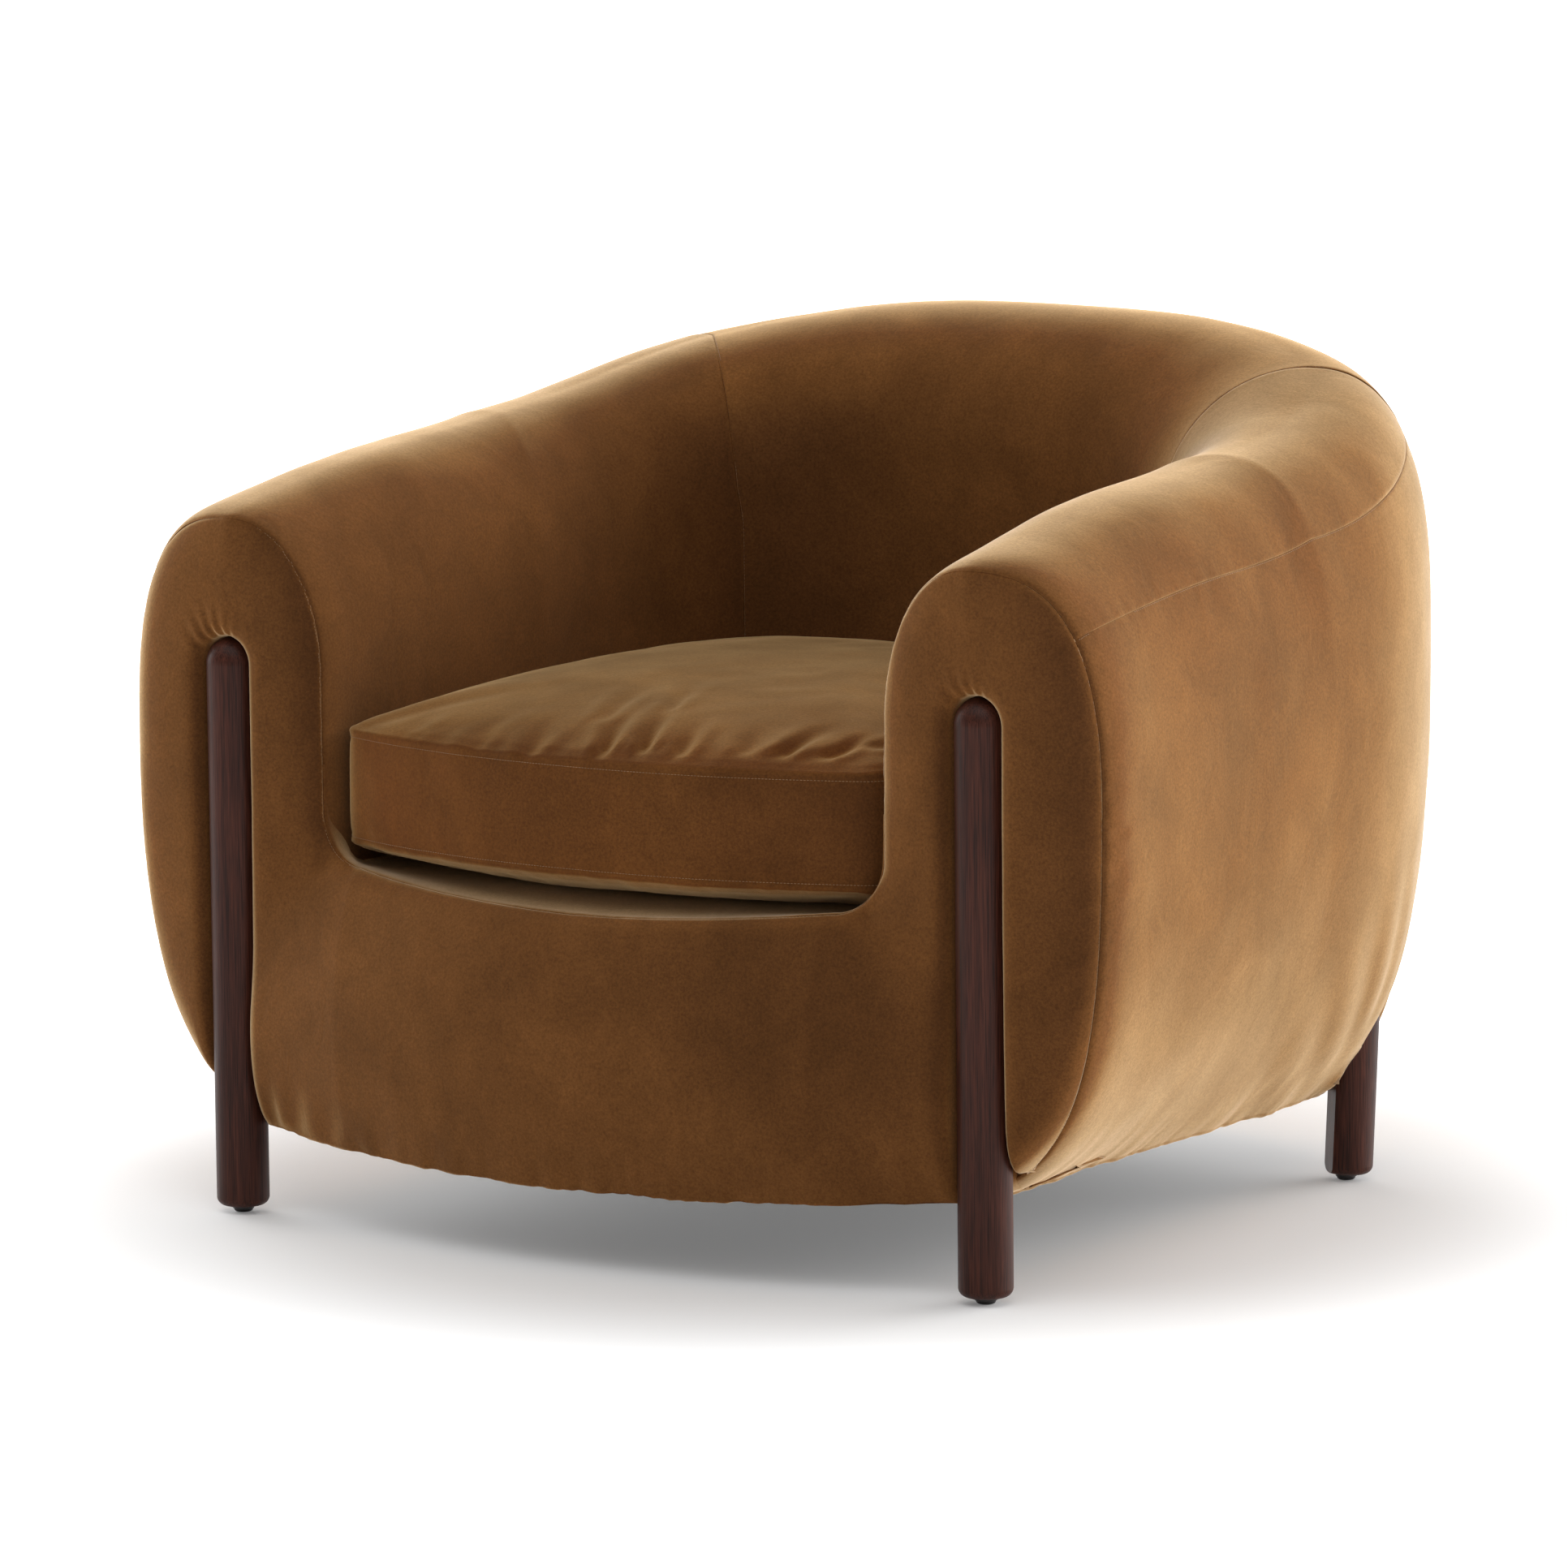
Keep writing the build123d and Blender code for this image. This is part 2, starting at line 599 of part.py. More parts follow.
# ---------------------------------------------------------------- seat webbing
STRAP_W, STRAP_T = 50.0, 1.6
long_straps, cross_straps = [], []
for sx in (-216.0, -144.0, -72.0, 0.0, 72.0, 144.0, 216.0):
    y0 = bow(abs(sx) + STRAP_W / 2, -49.0, 14.0)
    long_straps.append(box(sx - STRAP_W / 2, sx + STRAP_W / 2, y0, 619.0, 264.3, 264.3 + STRAP_T))
for sy in (90.0, 175.0, 260.0, 345.0, 430.0, 515.0):
    cross_straps.append(
        box(-347, 347, sy - STRAP_W / 2, sy + STRAP_W / 2, 266.2, 266.2 + STRAP_T)
    )
parts["seat_webbing_long"] = Compound(children=long_straps)
parts["seat_webbing_cross"] = Compound(children=cross_straps)

# ---------------------------------------------------------------- seat deck
_xi, _yi = plan(_s, *INNER)


def seat_outline(margin, y_front, y_edge):
    """Plan points of the seat inside the arms: sides and back with a margin, bowed front."""
    p = np.stack([_xi, _yi], 1)
    t = np.gradient(p, axis=0)
    t /= np.linalg.norm(t, axis=1)[:, None]
    q = p + margin * np.stack([-t[:, 1], t[:, 0]], 1)
    q = q[(q[:, 1] >= y_edge + 20) & (q[:, 0] >= 0)]
    q = resample(q, 22)
    q[-1, 0] = 0.0
    xe = q[0, 0]
    fr = [(x, y_front + (y_edge - y_front) * (x / xe) ** 2) for x in np.linspace(-xe, xe, 13)[1:-1]]
    right = [tuple(v) for v in q]
    left = [(-x, y) for x, y in right[::-1][1:]]
    return fr, right, left


def seat_wire(margin, y_front, y_edge, z):
    fr, right, left = seat_outline(margin, y_front, y_edge)
    c0 = Vector(right[0][0], right[0][1] + Y_SHIFT, z)
    c1 = Vector(left[-1][0], left[-1][1] + Y_SHIFT, z)
    ring = [Vector(x, y + Y_SHIFT, z) for x, y in right + left]
    front = [c1] + [Vector(x, y + Y_SHIFT, z) for x, y in fr] + [c0]
    return Wire([Edge.make_spline(ring), Edge.make_spline(front)])


DECK_TOP = 307.4
parts["deck_pad"] = Solid.make_loft(
    [seat_wire(3.0, -27.0, 8.0, 271.0), seat_wire(3.0, -27.0, 8.0, 296.0), seat_wire(14.0, -22.0, 18.0, DECK_TOP)],
    ruled=True,
)
parts["deck_cover"] = Solid.make_loft(
    [seat_wire(12.0, -24.0, 16.0, DECK_TOP + 0.4), seat_wire(14.0, -22.0, 18.0, DECK_TOP + 2.2)],
    ruled=True,
)

dust = back_plan(HEM, 32.0, 60.0)
front_edge = [(x, bow(x, -51.0, 17.0)) for x in np.linspace(-318, 318, 15)]
dust_pts = dust + front_edge
dust_cover = prism_z(dust_pts, 85.6, 87.2)
for g in (groove_right, groove_left):
    dust_cover = dust_cover - g
parts["dust_cover"] = biggest(dust_cover)

# ---------------------------------------------------------------- loose cushion
CUSH_FRONT_C, CUSH_FRONT_E = -42.0, 23.0
MARGIN = 4.0
rings = [
    (CUSH_BOT, 70.0, 0.86),
    (CUSH_BOT + 5, 40.0, 0.92),
    (CUSH_BOT + 13, 12.0, 0.98),
    (CUSH_SEAM_LO, 0.0, 1.0),
    (CUSH_SEAM_LO + 25, -0.0, 1.0),
    (CUSH_SEAM_HI - 25, -0.0, 1.0),
    (CUSH_SEAM_HI, 0.0, 1.0),
    (CUSH_SEAM_HI + 15, 13.0, 0.97),
    (CUSH_SEAM_HI + 29, 46.0, 0.9),
    (CUSH_TOP, 100.0, 0.8),
]


def cushion_solid(shrink):
    wires = []
    for z, m, _ in rings:
        zz = min(max(z, CUSH_BOT + shrink), CUSH_TOP - shrink)
        wires.append(
            seat_wire(MARGIN + m + shrink, CUSH_FRONT_C + m * 0.8 + shrink, CUSH_FRONT_E + m * 0.6 + shrink, zz)
        )
    return Solid.make_loft(wires, ruled=True)


foam = cushion_solid(2.4)
cover = cushion_solid(0.0) - cushion_solid(2.0)
parts["cushion_filling"] = foam
parts["cushion_cover"] = cover

# ---------------------------------------------------------------- bolts and washers
def hex_bolt(z):
    head = extrude(RegularPolygon(7.5, 6), 5.3)
    b = Pos(0, BOARD_Y0 + BOARD_T + 2.2, z) * (Rot(-90, 0, 0) * head)
    b += Pos(0, BOARD_Y0 + BOARD_T + 2.4 - 18.5, z) * (Rot(90, 0, 0) * Cylinder(3.95, 37.0))
    return b


def washer(z):
    w = Pos(0, BOARD_Y0 + BOARD_T + 1.1, z) * (Rot(90, 0, 0) * Cylinder(10.0, 1.7))
    return w - Pos(0, BOARD_Y0 + BOARD_T + 1.1, z) * (Rot(90, 0, 0) * Cylinder(4.3, 6.0))


bolts, washers = [], []
for z in BOLT_Z:
    for put in (put_front, put_rear):
        bolts += [put(hex_bolt(z)), mirrored(put(hex_bolt(z)))]
        washers += [put(washer(z)), mirrored(put(washer(z)))]
parts["fixing_bolts"] = Compound(children=bolts)
parts["bolt_washers"] = Compound(children=washers)

# ---------------------------------------------------------------- write
total = None
for n, s in parts.items():
    bb = s.bounding_box()
    total = bb if total is None else total.add(bb)
    print(
        f"{n:28s} {s.volume / 1000:9.2f} cm3 solids {len(s.solids()):3d} valid {s.is_valid}  "
        f"x {bb.min.X:7.1f} {bb.max.X:7.1f}  y {bb.min.Y:7.1f} {bb.max.Y:7.1f}  z {bb.min.Z:6.1f} {bb.max.Z:6.1f}"
    )
    export_step(s, f"parts/{n}.step")
print("whole", total.min, total.max, "y centre", (total.min.Y + total.max.Y) / 2)
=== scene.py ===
import json
import math

import bmesh
import bpy
import numpy as np
from mathutils import Matrix, Vector


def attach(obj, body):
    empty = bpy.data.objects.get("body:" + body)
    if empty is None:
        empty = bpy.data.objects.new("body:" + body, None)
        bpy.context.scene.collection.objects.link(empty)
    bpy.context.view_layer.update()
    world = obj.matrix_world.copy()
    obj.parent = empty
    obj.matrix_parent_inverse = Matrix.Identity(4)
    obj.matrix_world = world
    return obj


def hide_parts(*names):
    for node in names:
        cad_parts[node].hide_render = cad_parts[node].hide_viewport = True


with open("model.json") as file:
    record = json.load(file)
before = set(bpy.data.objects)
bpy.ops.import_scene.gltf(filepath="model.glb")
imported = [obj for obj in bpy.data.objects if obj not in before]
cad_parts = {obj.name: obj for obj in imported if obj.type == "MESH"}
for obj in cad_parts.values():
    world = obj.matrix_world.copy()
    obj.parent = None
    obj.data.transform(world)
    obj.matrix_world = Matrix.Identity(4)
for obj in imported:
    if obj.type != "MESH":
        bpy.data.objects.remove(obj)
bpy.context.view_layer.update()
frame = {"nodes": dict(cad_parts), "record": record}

RNG = np.random.default_rng(7)

# ------------------------------------------------------------------ sizes, in mm, y from the front posts' axis
Y_SHIFT = -356.0
POST_X, POST_R, POST_TOP = 382.0, 23.0, 505.0
REAR_X, REAR_Y, REAR_AZ, REAR_LEAN = 372.0, 612.0, 42.5, 2.6
NOSE_Y = -18.5
HEM_Z = 81.0
SEAM_TH = 0.487          # side seam on the section
BACK_S0, BACK_S1 = 0.692, 0.725   # seams between the arms and the back: at the side seam, at the inside

CREST = (376.0, 374.0, -13.0, 384.0, 735.0, 2.90)
OUTER = (495.5, 493.0, 9.0, 387.0, 796.0, 2.76)
HEM = (364.0, 367.0, 46.0, 448.0, 752.0, 3.60)
INNER = (285.0, 280.0, -1.5, 325.0, 614.0, 2.81)
S_MID = 0.45
CREST_Z = ((0, 0.22, 0.45, 0.7, 1.0), (612.0, 647.0, 664.5, 714.5, 747.5))
OUTER_Z = ((0, 0.45, 0.72, 1.0), (413.0, 420.0, 540.0, 522.0))
BULGE_M = ((0, 0.45, 0.75, 1.0), (0.18, 0.33, 0.15, 0.30))
BULGE_W = ((0, 0.45, 0.75, 1.0), (1.38, 0.95, 1.45, 1.0))
ROLL_IN = 132.0
N_OUT, N_IN, N_NOSE = 2.63, 2.03, 2.45


def smooth(s, xs, ys):
    xs, ys = np.array(xs, float), np.array(ys, float)
    d = np.diff(ys) / np.diff(xs)
    m = np.zeros(len(xs))
    m[0] = d[0]
    for k in range(1, len(xs) - 1):
        h0, h1 = xs[k] - xs[k - 1], xs[k + 1] - xs[k]
        m[k] = (d[k - 1] * h1 + d[k] * h0) / (h0 + h1)
    s = np.asarray(s, float)
    i = np.clip(np.searchsorted(xs, s, side="right") - 1, 0, len(xs) - 2)
    h = xs[i + 1] - xs[i]
    t = (s - xs[i]) / h
    return (
        (2 * t**3 - 3 * t**2 + 1) * ys[i]
        + (t**3 - 2 * t**2 + t) * h * m[i]
        + (-2 * t**3 + 3 * t**2) * ys[i + 1]
        + (t**3 - t**2) * h * m[i + 1]
    )


def plan(s, xf, xm, yf, yc, yb, n):
    s = np.asarray(s, float)
    t = np.clip(s / S_MID, 0, 1)
    ph = np.clip((s - S_MID) / (1 - S_MID), 0, 1) * math.pi / 2
    xa, ya = xm - (xm - xf) * (1 - t) ** 2, yf + (yc - yf) * t
    xb = xm * np.abs(np.cos(ph)) ** (2 / n)
    y_b = yc + (yb - yc) * np.sin(ph) ** (2 / n)
    first = s <= S_MID
    return np.where(first, xa, xb), np.where(first, ya, y_b)


def form(s, th):
    """Points on the upholstered face, right half. s: 0 front of the arm .. 1 middle of the back.
    th: 0 hem, 1/3 widest, 2/3 crest, 1 top of the inside wall, 2 foot of the inside wall."""
    s, th = np.broadcast_arrays(np.asarray(s, float), np.asarray(th, float))
    (ox, oy), (hx, hy), (cx, cy), (ix, iy) = (
        plan(s, *c) for c in (OUTER, HEM, CREST, INNER)
    )
    zt, zo = smooth(s, *CREST_Z), smooth(s, *OUTER_Z)
    zm = HEM_Z + (zo - HEM_Z) * smooth(s, *BULGE_M)
    w = smooth(s, *BULGE_W)
    zi = zt - ROLL_IN
    t = 1 - np.clip(th * 3, 0, 1)
    a, b, c = (1 - t) ** 2, 2 * t * (1 - t) * w, t * t
    d = a + b + c
    x1, y1 = ((a + b) * ox + c * hx) / d, ((a + b) * oy + c * hy) / d
    z1 = (a * zo + b * zm + c * HEM_Z) / d
    t2 = np.clip(th * 3 - 1, 0, 1) * math.pi / 2
    t3 = np.clip(th * 3 - 2, 0, 1) * math.pi / 2
    a2, b2 = np.abs(np.cos(t2)) ** (2 / N_OUT), np.sin(t2) ** (2 / N_OUT)
    a3, b3 = np.sin(t3) ** (2 / N_IN), np.abs(np.cos(t3)) ** (2 / N_IN)
    lo, mid = th <= 1 / 3, th <= 2 / 3
    x = np.where(lo, x1, np.where(mid, cx + (ox - cx) * a2, cx + (ix - cx) * a3))
    y = np.where(lo, y1, np.where(mid, cy + (oy - cy) * a2, cy + (iy - cy) * a3))
    z = np.where(lo, z1, np.where(mid, zo + (zt - zo) * b2, zi + (zt - zi) * b3))
    below = np.clip(th - 1, 0, 1)
    z = np.where(th > 1, zi + (306.0 - zi) * below, z)
    return np.stack([x, y, z], -1)


# ------------------------------------------------------------------ small helpers
def unit(v):
    return v / np.maximum(np.linalg.norm(v, axis=-1, keepdims=True), 1e-12)


def ease(t):
    t = np.clip(t, 0, 1)
    return t * t * (3 - 2 * t)


def fade(x, a, b):
    """1 at or below a, 0 at or above b."""
    return 1 - ease((x - a) / (b - a))


_perm = np.random.default_rng(11).permutation(256)
_vals = np.random.default_rng(12).uniform(-1, 1, 256)


def noise3(p, scale, seed=0):
    """Smooth noise in -1..1 for points in mm; scale is the size of its patches."""
    q = np.asarray(p) / scale + seed * 17.31
    i = np.floor(q).astype(int)
    f = q - i
    f = f * f * f * (f * (6 * f - 15) + 10)
    out = 0
    for dx in (0, 1):
        for dy in (0, 1):
            for dz in (0, 1):
                h = _perm[(_perm[(_perm[(i[..., 0] + dx) & 255] + i[..., 1] + dy) & 255] + i[..., 2] + dz) & 255]
                w = (
                    (f[..., 0] if dx else 1 - f[..., 0])
                    * (f[..., 1] if dy else 1 - f[..., 1])
                    * (f[..., 2] if dz else 1 - f[..., 2])
                )
                out = out + w * _vals[h]
    return out


def normals(P):
    """Normals of a grid of points, from its own differences."""
    return unit(np.cross(np.gradient(P, axis=0), np.gradient(P, axis=1)))


def to_row(P):
    Q = np.array(P, float)
    Q[..., 1] += Y_SHIFT
    return Q / 1000.0


def flip_x(P):
    Q = np.array(P, float)
    Q[..., 0] *= -1
    return Q


def mesh_object(name, verts, faces, mat, body="frame", smooth_shade=True):
    me = bpy.data.meshes.new(name)
    me.from_pydata([tuple(v) for v in verts], [], faces)
    me.update()
    if smooth_shade:
        me.polygons.foreach_set("use_smooth", [True] * len(me.polygons))
    me.materials.append(mat)
    ob = bpy.data.objects.new(name, me)
    bpy.context.scene.collection.objects.link(ob)
    if body:
        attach(ob, body)
    return ob


def weld(ob, dist=0.00002):
    bm = bmesh.new()
    bm.from_mesh(ob.data)
    bmesh.ops.remove_doubles(bm, verts=bm.verts, dist=dist)
    bm.to_mesh(ob.data)
    bm.free()


def grids_to_mesh(name, grids, mat, body="frame", keep=None):
    """Several grids (nu, nv, 3) in mm joined into one mesh; edges that meet are welded."""
    V, F, n0 = [], [], 0
    for P, turn in grids:
        nu, nv = P.shape[:2]
        idx = np.arange(nu * nv).reshape(nu, nv) + n0
        a, b, c, d = idx[:-1, :-1], idx[1:, :-1], idx[1:, 1:], idx[:-1, 1:]
        q = np.stack([a, b, c, d], -1).reshape(-1, 4)
        if turn:
            q = q[:, ::-1]
        F.append(q)
        V.append(P.reshape(-1, 3))
        n0 += nu * nv
    V, F = np.concatenate(V), np.concatenate(F)
    if keep is not None:
        ok = keep(V[F].mean(1))
        F = F[ok]
        used = np.unique(F)
        remap = -np.ones(len(V), int)
        remap[used] = np.arange(len(used))
        V, F = V[used], remap[F]
    ob = mesh_object(name, to_row(V), F.tolist(), mat, body)
    weld(ob)
    return ob


def thicken(ob, t=0.0016):
    m = ob.modifiers.new("cloth_thickness", "SOLIDIFY")
    m.thickness = t
    m.offset = -1.0
    return ob


# ------------------------------------------------------------------ node materials
def new_mat(name):
    m = bpy.data.materials.new(name)
    m.use_nodes = True
    nt = m.node_tree
    nt.nodes.clear()
    out = nt.nodes.new("ShaderNodeOutputMaterial")
    bsdf = nt.nodes.new("ShaderNodeBsdfPrincipled")
    nt.links.new(bsdf.outputs[0], out.inputs[0])
    return m, nt, bsdf


def N(nt, kind, **kw):
    n = nt.nodes.new(kind)
    for k, v in kw.items():
        if hasattr(n, k):
            setattr(n, k, v)
        else:
            n.inputs[k].default_value = v
    return n


def L(nt, a, b):
    nt.links.new(a, b)


def ramp(nt, stops, fac):
    r = nt.nodes.new("ShaderNodeValToRGB")
    el = r.color_ramp.elements
    while len(el) > 1:
        el.remove(el[-1])
    el[0].position, el[0].color = stops[0][0], (*stops[0][1], 1)
    for p, c in stops[1:]:
        e = el.new(p)
        e.color = (*c, 1)
    L(nt, fac, r.inputs[0])
    return r.outputs[0]


def mix_rgb(nt, blend, fac, a, b):
    m = nt.nodes.new("ShaderNodeMix")
    m.data_type = "RGBA"
    m.blend_type = blend
    for sock, v in ((m.inputs[0], fac), (m.inputs[6], a), (m.inputs[7], b)):
        if isinstance(v, (int, float)):
            sock.default_value = v
        elif isinstance(v, tuple):
            sock.default_value = (*v, 1)
        else:
            L(nt, v, sock)
    return m.outputs[2]


def math_node(nt, op, a, b=None, clamp=False):
    m = nt.nodes.new("ShaderNodeMath")
    m.operation = op
    m.use_clamp = clamp
    for sock, v in ((m.inputs[0], a), (m.inputs[1], b)):
        if v is None:
            continue
        if isinstance(v, (int, float)):
            sock.default_value = v
        else:
            L(nt, v, sock)
    return m.outputs[0]


def noise_tex(nt, vec, scale, detail=2.0, rough=0.5, dist=0.0):
    n = nt.nodes.new("ShaderNodeTexNoise")
    n.inputs["Scale"].default_value = scale
    n.inputs["Detail"].default_value = detail
    n.inputs["Roughness"].default_value = rough
    n.inputs["Distortion"].default_value = dist
    L(nt, vec, n.inputs["Vector"])
    return n.outputs["Fac"]


# painted sheen of the pile, by how far it is seen from the side: deep brown when faced, painted paler gold towards
# the rim
PILE_PAINTED_SHEEN = (
    (0.00, (0.088, 0.0325, 0.0090)),
    (0.12, (0.130, 0.0490, 0.0122)),
    (0.30, (0.168, 0.0630, 0.0150)),
    (0.44, (0.168, 0.0575, 0.0120)),
    (0.54, (0.228, 0.0980, 0.0270)),
    (0.64, (0.325, 0.1800, 0.0720)),
    (0.78, (0.385, 0.2550, 0.1380)),
    (0.90, (0.480, 0.3800, 0.2750)),
    (1.00, (0.820, 0.7400, 0.6300)),
)


def velvet(name, sheen=0.82, tone=(1.0, 1.0, 1.0), rim=(1.0, 1.0, 1.0)):
    m, nt, b = new_mat(name)
    tc = nt.nodes.new("ShaderNodeTexCoord")
    co = tc.outputs["Object"]
    mp = nt.nodes.new("ShaderNodeMapping")
    mp.inputs["Scale"].default_value = (1.0, 1.0, 0.80)
    L(nt, co, mp.inputs["Vector"])
    big = noise_tex(nt, mp.outputs[0], 6.2, 4.0, 0.58, 0.7)      # brushed patches of nap
    streak = nt.nodes.new("ShaderNodeMapping")
    streak.inputs["Scale"].default_value = (1.0, 1.0, 0.85)
    L(nt, co, streak.inputs["Vector"])
    mid = noise_tex(nt, streak.outputs[0], 21.0, 4.0, 0.62, 0.6)       # strokes of the hand
    fine = noise_tex(nt, co, 430.0, 3.0, 0.75)                     # pile
    lw = nt.nodes.new("ShaderNodeLayerWeight")
    lw.inputs["Blend"].default_value = 0.5
    # painted sheen: Layer Weight facing picks the base colour from the ramp above, so rims are painted paler gold;
    # tone and rim scale it for painted lit and shaded copies
    c1 = ramp(nt, [(p, tuple(v * k * (1 + (r - 1) * ease(p / 0.8)) for v, k, r in zip(c, tone, rim))) for p, c in PILE_PAINTED_SHEEN], lw.outputs["Facing"])
    nap = ramp(nt, [(0.30, (0.80, 0.785, 0.765)), (0.50, (1.0, 1.0, 1.0)), (0.70, (1.19, 1.22, 1.26))], big)
    c2 = mix_rgb(nt, "MULTIPLY", 1.0, c1, nap)
    g = ramp(nt, [(0.30, (0.66, 0.65, 0.64)), (0.70, (1.36, 1.37, 1.38))], fine)
    c3 = mix_rgb(nt, "MULTIPLY", 0.85, c2, g)
    g2 = ramp(nt, [(0.32, (0.88, 0.87, 0.86)), (0.68, (1.10, 1.10, 1.11))], mid)
    c4 = mix_rgb(nt, "MULTIPLY", 1.0, c3, g2)
    L(nt, c4, b.inputs["Base Color"])
    b.inputs["Roughness"].default_value = 0.92
    b.inputs["Specular IOR Level"].default_value = 0.10
    b.inputs["Sheen Weight"].default_value = sheen
    b.inputs["Sheen Roughness"].default_value = 0.42
    b.inputs["Sheen Tint"].default_value = (1.0, 0.66, 0.34, 1)
    bump1 = nt.nodes.new("ShaderNodeBump")
    bump1.inputs["Strength"].default_value = 0.25
    bump1.inputs["Distance"].default_value = 0.0006
    L(nt, fine, bump1.inputs["Height"])
    bump2 = nt.nodes.new("ShaderNodeBump")
    bump2.inputs["Strength"].default_value = 0.25
    bump2.inputs["Distance"].default_value = 0.003
    L(nt, mid, bump2.inputs["Height"])
    L(nt, bump1.outputs[0], bump2.inputs["Normal"])
    L(nt, bump2.outputs[0], b.inputs["Normal"])
    return m


def thread_mat(name, col=(0.27, 0.135, 0.045)):
    m, nt, b = new_mat(name)
    tc = nt.nodes.new("ShaderNodeTexCoord")
    f = noise_tex(nt, tc.outputs["Object"], 700.0, 2.0)
    c = ramp(nt, [(0.3, tuple(v * 0.6 for v in col)), (0.7, tuple(min(1, v * 1.35) for v in col))], f)
    L(nt, c, b.inputs["Base Color"])
    b.inputs["Roughness"].default_value = 0.55
    b.inputs["Sheen Weight"].default_value = 0.3
    return m


def wood(name, dark=(0.036, 0.0095, 0.0052), light=(0.086, 0.0250, 0.0145), rough=0.46, coat=0.07, axis_z=True):
    m, nt, b = new_mat(name)
    tc = nt.nodes.new("ShaderNodeTexCoord")
    co = tc.outputs["Object"]
    mp = nt.nodes.new("ShaderNodeMapping")
    mp.inputs["Scale"].default_value = (1.0, 1.0, 0.035) if axis_z else (0.035, 1.0, 1.0)
    L(nt, co, mp.inputs["Vector"])
    g1 = noise_tex(nt, mp.outputs[0], 95.0, 4.0, 0.6, 0.3)       # wide bands of the grain
    g2 = noise_tex(nt, mp.outputs[0], 620.0, 3.0, 0.65)          # fine streaks
    mp2 = nt.nodes.new("ShaderNodeMapping")
    mp2.inputs["Scale"].default_value = (1.0, 1.0, 0.012) if axis_z else (0.012, 1.0, 1.0)
    L(nt, co, mp2.inputs["Vector"])
    pores = noise_tex(nt, mp2.outputs[0], 1400.0, 1.0, 0.5)
    c1 = ramp(nt, [(0.32, dark), (0.50, tuple((a + c) / 2 for a, c in zip(dark, light))), (0.70, light)], g1)
    s = ramp(nt, [(0.35, (0.55, 0.55, 0.55)), (0.62, (1.25, 1.22, 1.2))], g2)
    c2 = mix_rgb(nt, "MULTIPLY", 0.85, c1, s)
    pr = ramp(nt, [(0.36, (0.35, 0.33, 0.33)), (0.46, (1, 1, 1))], pores)
    c3 = mix_rgb(nt, "MULTIPLY", 0.8, c2, pr)
    L(nt, c3, b.inputs["Base Color"])
    r = math_node(nt, "MULTIPLY_ADD", g2, 0.22)
    r.node.inputs[2].default_value = rough - 0.11
    L(nt, r, b.inputs["Roughness"])
    b.inputs["Coat Weight"].default_value = coat
    b.inputs["Coat Roughness"].default_value = 0.22
    b.inputs["Specular IOR Level"].default_value = 0.18
    bump = nt.nodes.new("ShaderNodeBump")
    bump.inputs["Strength"].default_value = 0.35
    bump.inputs["Distance"].default_value = 0.0003
    L(nt, pores, bump.inputs["Height"])
    bump2 = nt.nodes.new("ShaderNodeBump")
    bump2.inputs["Strength"].default_value = 0.25
    bump2.inputs["Distance"].default_value = 0.0004
    L(nt, g2, bump2.inputs["Height"])
    L(nt, bump.outputs[0], bump2.inputs["Normal"])
    L(nt, bump2.outputs[0], b.inputs["Normal"])
    return m


def plain_node_mat(name, col, rough=0.6, metallic=0.0, scale=300.0, vary=0.25, bump_d=0.0002, sheen=0.0):
    m, nt, b = new_mat(name)
    tc = nt.nodes.new("ShaderNodeTexCoord")
    f = noise_tex(nt, tc.outputs["Object"], scale, 3.0, 0.6)
    c = ramp(
        nt,
        [(0.3, tuple(v * (1 - vary) for v in col)), (0.7, tuple(min(1, v * (1 + vary)) for v in col))],
        f,
    )
    L(nt, c, b.inputs["Base Color"])
    b.inputs["Roughness"].default_value = rough
    b.inputs["Metallic"].default_value = metallic
    b.inputs["Sheen Weight"].default_value = sheen
    bump = nt.nodes.new("ShaderNodeBump")
    bump.inputs["Strength"].default_value = 0.3
    bump.inputs["Distance"].default_value = bump_d
    L(nt, f, bump.inputs["Height"])
    L(nt, bump.outputs[0], b.inputs["Normal"])
    return m


def woven(name, col, scale=900.0, rough=0.85):
    """Woven or spun cloth: two crossed sets of threads."""
    m, nt, b = new_mat(name)
    tc = nt.nodes.new("ShaderNodeTexCoord")
    waves = []
    for d in ("X", "Y"):
        w = nt.nodes.new("ShaderNodeTexWave")
        w.bands_direction = d
        w.inputs["Scale"].default_value = scale
        w.inputs["Distortion"].default_value = 1.2
        w.inputs["Detail"].default_value = 1.0
        L(nt, tc.outputs["Object"], w.inputs["Vector"])
        waves.append(w.outputs["Fac"])
    f = math_node(nt, "MULTIPLY", waves[0], waves[1])
    n = noise_tex(nt, tc.outputs["Object"], 40.0, 3.0)
    f2 = math_node(nt, "ADD", f, n)
    c = ramp(nt, [(0.3, tuple(v * 0.7 for v in col)), (1.0, tuple(min(1, v * 1.3) for v in col))], f2)
    L(nt, c, b.inputs["Base Color"])
    b.inputs["Roughness"].default_value = rough
    bump = nt.nodes.new("ShaderNodeBump")
    bump.inputs["Strength"].default_value = 0.4
    bump.inputs["Distance"].default_value = 0.0004
    L(nt, f, bump.inputs["Height"])
    L(nt, bump.outputs[0], b.inputs["Normal"])
    return m


